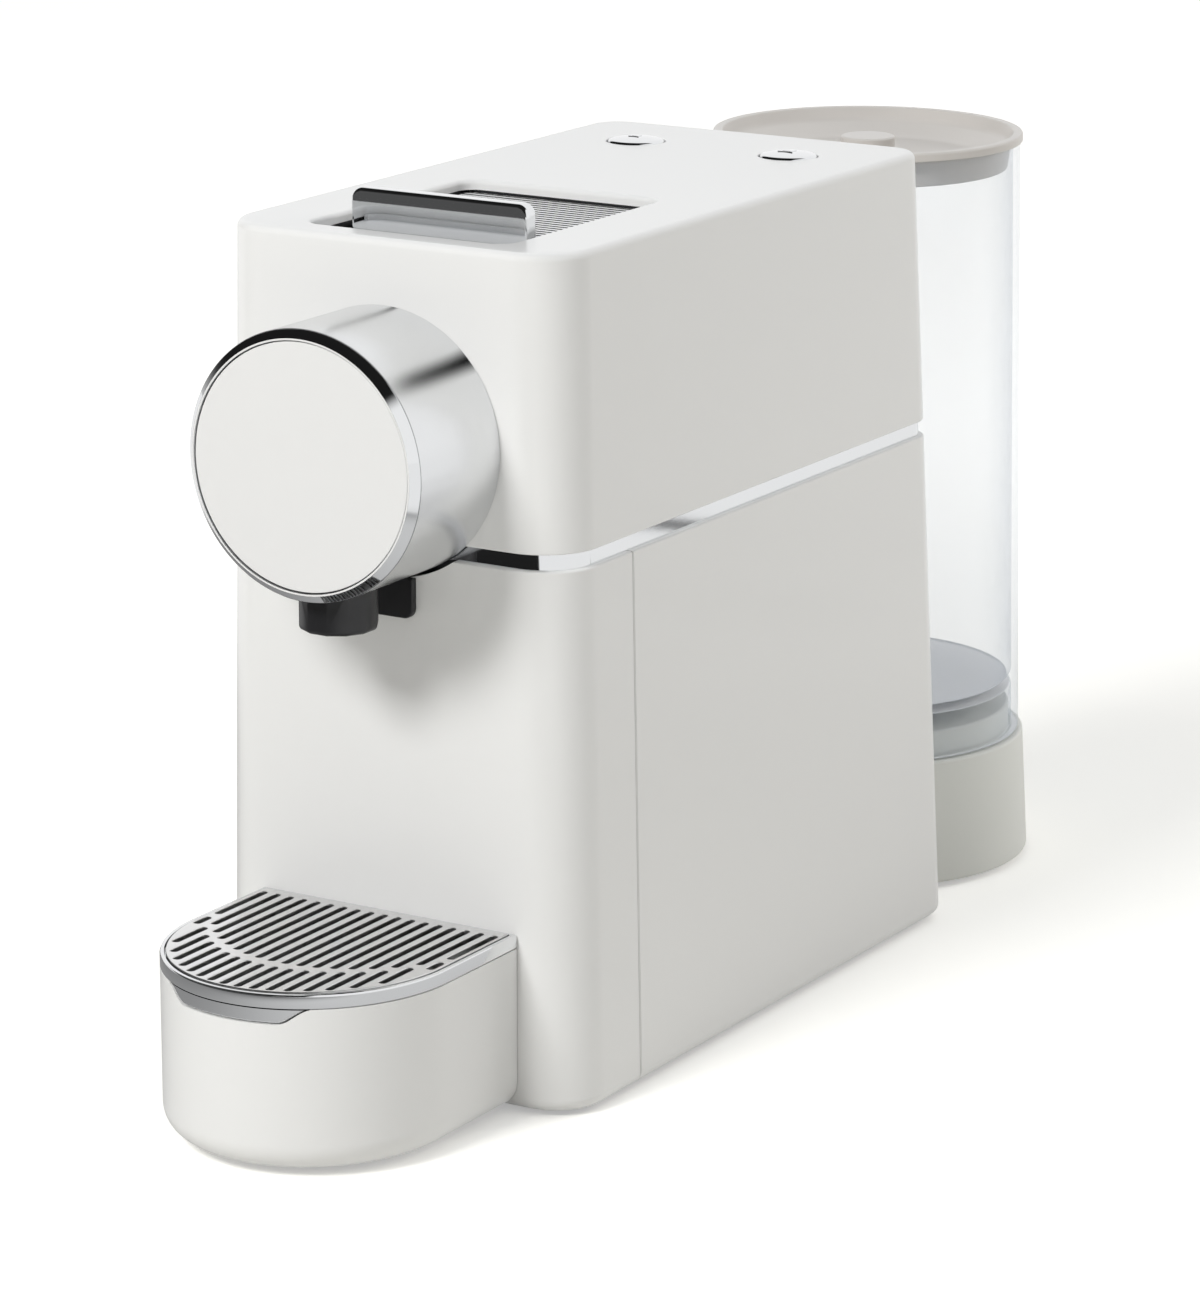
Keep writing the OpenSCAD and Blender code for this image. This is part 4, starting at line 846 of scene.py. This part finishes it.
def tray_shape(inset, back, steps=64):
    """D-shaped outline, anticlockwise seen from above, drawn in by inset."""
    a, b = TRAY_HALF - inset, TRAY_ROUND - inset
    turns = [math.pi * i / steps for i in range(steps + 1)]
    return [(-a * math.cos(t), -TRAY_STRAIGHT - b * math.sin(t)) for t in turns] + [(a, back), (-a, back)]


def tray_rings(levels):
    """Rings of the tray's shape, each drawn in on all sides, for pairs of inset and height."""
    return [at_height(tray_shape(inset, TRAY_BACK - inset), z) for inset, z in levels]


bm = bmesh.new()
rings = []
for t in (math.radians(a) for a in range(0, 91, 10)):
    rings.append(at_height(tray_shape(TRAY_EDGE * (1 - math.sin(t)), TRAY_BACK),
                           TRAY_FOOT + TRAY_EDGE * (1 - math.cos(t))))
rings += tray_rings([(0, 25), (0, RIM - 0.3), (0.1, RIM - 0.1), (0.3, RIM), (TRAY_WALL, RIM),
                     (TRAY_WALL, TRAY_FOOT + TRAY_WALL)])
made = skin(bm, rings)
bm.faces.new(made[0])
bm.faces.new(made[-1])
tray = as_piece("tray_drawer", bm, white_abs, "tray", ["tray_body"])


def tongue_foot(x, gap=0):
    """Height of the finger tongue's lower edge, grown by gap, at a distance from the middle."""
    over = max(0, min(1, (abs(x) - TONGUE_TIP - gap) / (TONGUE_HALF - TONGUE_TIP)))
    return RIM - (TONGUE_DROP + gap) * (1 + math.cos(math.pi * over)) / 2


def block_between(bm, near, far):
    """A closed block between two matching outlines."""
    ends = skin(bm, [near, far])
    for end in ends:
        bm.faces.new(end)


reach, above = TONGUE_HALF + TONGUE_GAP, 50
foot = [(x, tongue_foot(x, TONGUE_GAP)) for x in (-reach + 2 * reach * i / 80 for i in range(81))]
bm = bmesh.new()
block_between(bm, *[[(x, y, z) for x, z in foot + [(reach, above), (-reach, above)]] for y in (-80, -40)])
cut(tray, bm)

CUP_OUT, CUP_IN, CUP_LOW, CUP_FLOOR, SEAT = 2.9, 4.1, 24.5, 25.2, RIM + 0.1
bm = bmesh.new()
outside = skin(bm, tray_rings([
    (RIM_WIDTH, RIM + 1), (RIM_WIDTH, TRAY_TOP - 0.4), (RIM_WIDTH - 0.15, TRAY_TOP - 0.1),
    (RIM_WIDTH - 0.45, TRAY_TOP), (0.6, TRAY_TOP), (0.2, TRAY_TOP - 0.15), (0, TRAY_TOP - 0.6),
    (0, RIM + 0.4), (0.1, RIM + 0.2), (0.3, SEAT), (CUP_OUT, SEAT), (CUP_OUT, CUP_LOW)]))
bm.faces.new(outside[-1])
inside = skin(bm, tray_rings([(CUP_IN + 0.5, CUP_FLOOR), (CUP_IN, CUP_FLOOR + 0.4), (CUP_IN, RIM + 1)]))
bm.faces.new(inside[0])
skin(bm, [inside[-1], outside[0]])
as_piece("drip_cup_plated", bm, chrome, "cup_stand", ["drip_cup"])


def tray_front(x, inset):
    """Where the front of the tray's shape, drawn in by inset, is at a distance from the middle."""
    return -TRAY_STRAIGHT - (TRAY_ROUND - inset) * math.sqrt(max(0, 1 - (x / (TRAY_HALF - inset)) ** 2))


bm = bmesh.new()
FACE, TOP = 0.25, RIM - 0.15
tongue = [(x, min(tongue_foot(x), TOP - 0.05))
          for x in (-TONGUE_HALF + TONGUE_HALF * i / 40 for i in range(81))]
rows = [[(x, tray_front(x, FACE), TOP) for x, low in tongue],
        [(x, tray_front(x, FACE), min(low + 0.3, TOP)) for x, low in tongue],
        [(x, tray_front(x, FACE + 0.3), low) for x, low in tongue],
        [(x, tray_front(x, CUP_OUT), low) for x, low in tongue],
        [(x, tray_front(x, CUP_OUT), TOP) for x, low in tongue]]
made = skin(bm, rows, closed=False)
skin(bm, [made[-1], made[0]], closed=False)
for end in (0, -1):
    bm.faces.new([row[end] for row in made])
as_piece("drip_cup_tongue", bm, chrome, "cup_stand", ())

GRILLE_TOP, GRILLE_THICK, GRILLE_GAP, BORDER = 45.5, 1.8, 0.3, RIM_WIDTH + 0.9
SLOT_PITCH, SLOT_WIDTH, SLOT_CORNER, SLOT_BACK, BRIDGE, BRIDGE_BACK = 3.88, 2, 0.9, -4.5, 3, 20
steel = finish("brushed_steel", (0.80, 0.80, 0.80), 0.28, mottle=0.05, grain=500, depth=0.02,
               stretch=(1, 12, 1), Metallic=1)
slots = []
count = int((TRAY_HALF - BORDER - SLOT_WIDTH / 2) / SLOT_PITCH + 0.5)
for i in range(-count, count):
    x = (i + 0.5) * SLOT_PITCH
    front = tray_front(abs(x) + SLOT_WIDTH / 2, BORDER)
    bridge = tray_front(x, 0) + BRIDGE_BACK
    for y0, y1, shortest in ((bridge + BRIDGE / 2, SLOT_BACK, 4), (front, bridge - BRIDGE / 2, 3)):
        if y1 - y0 > shortest:
            slot = rolled_box(SLOT_WIDTH / 2, y0, y1 - y0, SLOT_CORNER, steps=4)
            slots.append([(x + u, v) for u, v in slot])
bm = bmesh.new()
grille_inset = RIM_WIDTH + GRILLE_GAP
slab(bm, tray_shape(grille_inset, TRAY_BACK - grille_inset), GRILLE_TOP - GRILLE_THICK, GRILLE_TOP, 0, 0.25,
     lying, slots, steps=3)
as_piece("slotted_grille", bm, steel, "cup_grille", ["grille"])


# Water tank. A clear moulded tube with its floor set in above an open skirt, standing on the
# round base behind the machine.
TANK_Y, TANK_TOP_R, TANK_FOOT_R, TANK_WALL = 236.5, 41.2, 44.1, 2
MOUTH, TANK_FLOOR, BASE_TOP, SKIRT_GAP = 198.6, 48, 35.5, 0.3


def tank_r(z):
    """The tube's outer radius at a height. It widens towards its foot."""
    return TANK_TOP_R + (TANK_FOOT_R - TANK_TOP_R) * (MOUTH - z) / (MOUTH - BASE_TOP)


clear = finish("clear_tank_plastic", (0.55, 0.65, 0.79), 0.06, mottle=0.02, grain=1200, depth=0.0, IOR=1.49)
tree = clear.node_tree
rim_seen = tree.nodes.new("ShaderNodeLayerWeight")
rim_seen.inputs["Blend"].default_value = 0.35
tree.links.new(ramp(tree, rim_seen.outputs["Facing"], 0.25, 1.0, 0.10, 0.32),
               tree.nodes["Principled BSDF"].inputs["Alpha"])
floor_r, foot_r, foot = tank_r(TANK_FLOOR) - TANK_WALL, tank_r(BASE_TOP) - TANK_WALL, BASE_TOP + SKIRT_GAP
tube = turned_piece("clear_tube", [(0, TANK_FLOOR), (floor_r, TANK_FLOOR), (foot_r, foot),
                                   (tank_r(BASE_TOP), foot), (tank_r(MOUTH), MOUTH),
                                   (tank_r(MOUTH) - TANK_WALL, MOUTH), (floor_r, TANK_FLOOR + TANK_WALL),
                                   (0, TANK_FLOOR + TANK_WALL)],
                    [0, 0.8, 0.4, 0.6, 0.6, 0.4, 2.5, 0], (0, TANK_Y), "z", clear, "tank", ["tank_tube"],
                    192)
# The tube's floor takes a near-white, almost opaque finish: painted light, standing in for the clear floor
# lit from inside.
tube.data.materials.append(finish("tank_floor_painted_light", (0.95, 0.96, 0.98), 0.2, Alpha=0.92))
for face in tube.data.polygons:
    in_floor = abs(face.normal.z) > 0.9 and face.center.z * 1000 < TANK_FLOOR + TANK_WALL + 1
    face.material_index = 1 if in_floor else 0


# Tank lid and knob. A warm grey bowl-shaped lid whose plug drops into the tube, with a round
# finger knob in the middle.
warm_grey = finish("warm_grey_plastic", (0.645, 0.615, 0.585), 0.35, mottle=0.015, grain=2400, depth=0.03,
                   Coat_Weight=0.15, Coat_Roughness=0.2)
LID_SEAT, LID_RIM, LID_R, BOWL, LID_THICK = 198.9, 2.4, TANK_TOP_R + 0.6, 8, 2
PLUG_R, PLUG_LOW, KNOB_R = TANK_TOP_R - TANK_WALL - 0.4, 191.6, 7.3
lid_top = LID_SEAT + LID_RIM
bowl_floor, knob_top = lid_top - BOWL, lid_top - 1.6
turned_piece("lid_bowl", [(0, bowl_floor - LID_THICK), (PLUG_R - 7, bowl_floor - LID_THICK),
                          (PLUG_R - 3.4, PLUG_LOW + 1.4), (PLUG_R - 2.4, PLUG_LOW), (PLUG_R - 1, PLUG_LOW),
                          (PLUG_R, LID_SEAT), (LID_R, LID_SEAT), (LID_R, lid_top),
                          (TANK_TOP_R - 1.9, lid_top), (TANK_TOP_R - 3.4, lid_top - 3.4),
                          (PLUG_R - 8, bowl_floor + 1), (0, bowl_floor)],
             [0, 0.5, 0.5, 0.5, 0.5, 0, 0.3, 0.7, 0.7, 3, 8, 0], (0, TANK_Y), "z", warm_grey, "lid",
             ["tank_lid"], 192, 50)
turned_piece("lid_finger_knob", [(0, bowl_floor), (KNOB_R, bowl_floor), (KNOB_R, knob_top - 0.4),
                                 (KNOB_R - 0.4, knob_top), (0, knob_top)],
             [0, 0, 0.4, 0.5, 0], (0, TANK_Y), "z", warm_grey, "lid", ["lid_knob"], 96, 50)


# Tank base. A warm grey moulding on the worktop with a raised plinth inside the tank's skirt
# and a neck that runs forward into the machine.
base_grey = finish("base_grey_plastic", (0.81, 0.82, 0.785), 0.4, mottle=0.015, grain=2400, depth=0.03)
BASE_R, BASE_TAPER, PLINTH_TOP, PLINTH_R, CASING_GAP = 47.2, 1.9, 43, 41.3, 0.3
NECK_FRONT, NECK_BACK, NECK_LOW, NECK_GAP = 184, 206.5, 5.3, 0.3
wall_in, wall_under = PLINTH_R - WALL, PLINTH_TOP - WALL
bm = bmesh.new()
turned(bm, softened([(wall_in, SHELL_FOOT), (BASE_R, SHELL_FOOT), (BASE_R - BASE_TAPER, BASE_TOP),
                     (PLINTH_R, BASE_TOP), (PLINTH_R, PLINTH_TOP), (0, PLINTH_TOP), (0, wall_under),
                     (wall_in, wall_under)], [0.3, 1, 0.9, 0.5, 0.8, 0, 0, 0.5]), (0, TANK_Y), "z", 160)
base = as_piece("round_base", bm, base_grey, "machine", ["tank_base"], 50)
bm = bmesh.new()
block_between(bm, *[at_height([(-BASE_R, 150), (BASE_R, 150), (BASE_R, back_of(z) + CASING_GAP),
                               (-BASE_R, back_of(z) + CASING_GAP)], z) for z in (-1, BASE_TOP + 2)])
cut(base, bm)
bm = bmesh.new()
slab(bm, panel(NECK_HALF - NECK_GAP, NECK_LOW, NECK_HIGH - NECK_GAP, [0, 0, 2, 2]), NECK_FRONT, NECK_BACK,
     0.3, 0.3, upright)
as_piece("base_neck", bm, base_grey, "machine", ())


# Everything inside and underneath keeps its CAD shape and gets the finish of its own stuff:
# glass-filled frames, rubber, steel, cast aluminium, wound pump, board, nylon and hoses.
frame_plastic = finish("frame_plastic", (0.055, 0.058, 0.062), 0.5, mottle=0.06, grain=900, depth=0.12)
soft_rubber = finish("soft_rubber", (0.02, 0.02, 0.02), 0.75, mottle=0.08, grain=1200, depth=0.15)
cast_aluminium = finish("cast_aluminium", (0.55, 0.56, 0.57), 0.5, mottle=0.15, grain=700, depth=0.25,
                        Metallic=1)
wound_pump = finish("wound_pump", (0.42, 0.25, 0.06), 0.45, mottle=0.1, grain=300, depth=0.2,
                    stretch=(1, 1, 8))
green_board = finish("green_board", (0.01, 0.08, 0.035), 0.3, mottle=0.1, grain=400, depth=0.05)
nylon = finish("nylon", (0.62, 0.59, 0.5), 0.45, mottle=0.04, grain=1200, depth=0.06)
silicone_hose = finish("silicone_hose", (0.6, 0.62, 0.63), 0.4, mottle=0.05, grain=1200, depth=0.05)
acetal = finish("acetal", (0.5, 0.09, 0.015), 0.35, mottle=0.05, grain=1200, depth=0.05)
for material, names in (
        (frame_plastic, ["base_plate", "deck", "bulkhead", "drawer_bay", "capsule_drop", "brew_frame",
                         "capsule_guide", "outlet_block", "slide_arms", "hatch_carrier", "capsule_bin",
                         "pump_bracket", "tank_socket", "valve_seat"]),
        (soft_rubber, ["rubber_feet", "outlet_seal", "piston_seal", "pump_rings", "socket_seal"]),
        (black_plastic, ["hatch_rails", "button_switches", "mains_gland"]),
        (steel, ["outlet_plate", "capsule_cup", "piston_spring", "left_button_spring", "right_button_spring",
                 "case_screws", "valve_spring"]),
        (cast_aluminium, ["heater_block"]),
        (wound_pump, ["pump"]),
        (green_board, ["control_board"]),
        (nylon, ["thermostat", "flow_meter"]),
        (silicone_hose, ["suction_hose", "pump_hose", "pressure_hose", "hot_water_hose"]),
        (acetal, ["brew_piston", "valve_plunger"])):
    for name in names:
        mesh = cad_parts[name].data
        mesh.materials.clear()
        mesh.materials.append(material)

scene.view_settings.view_transform = "Standard"
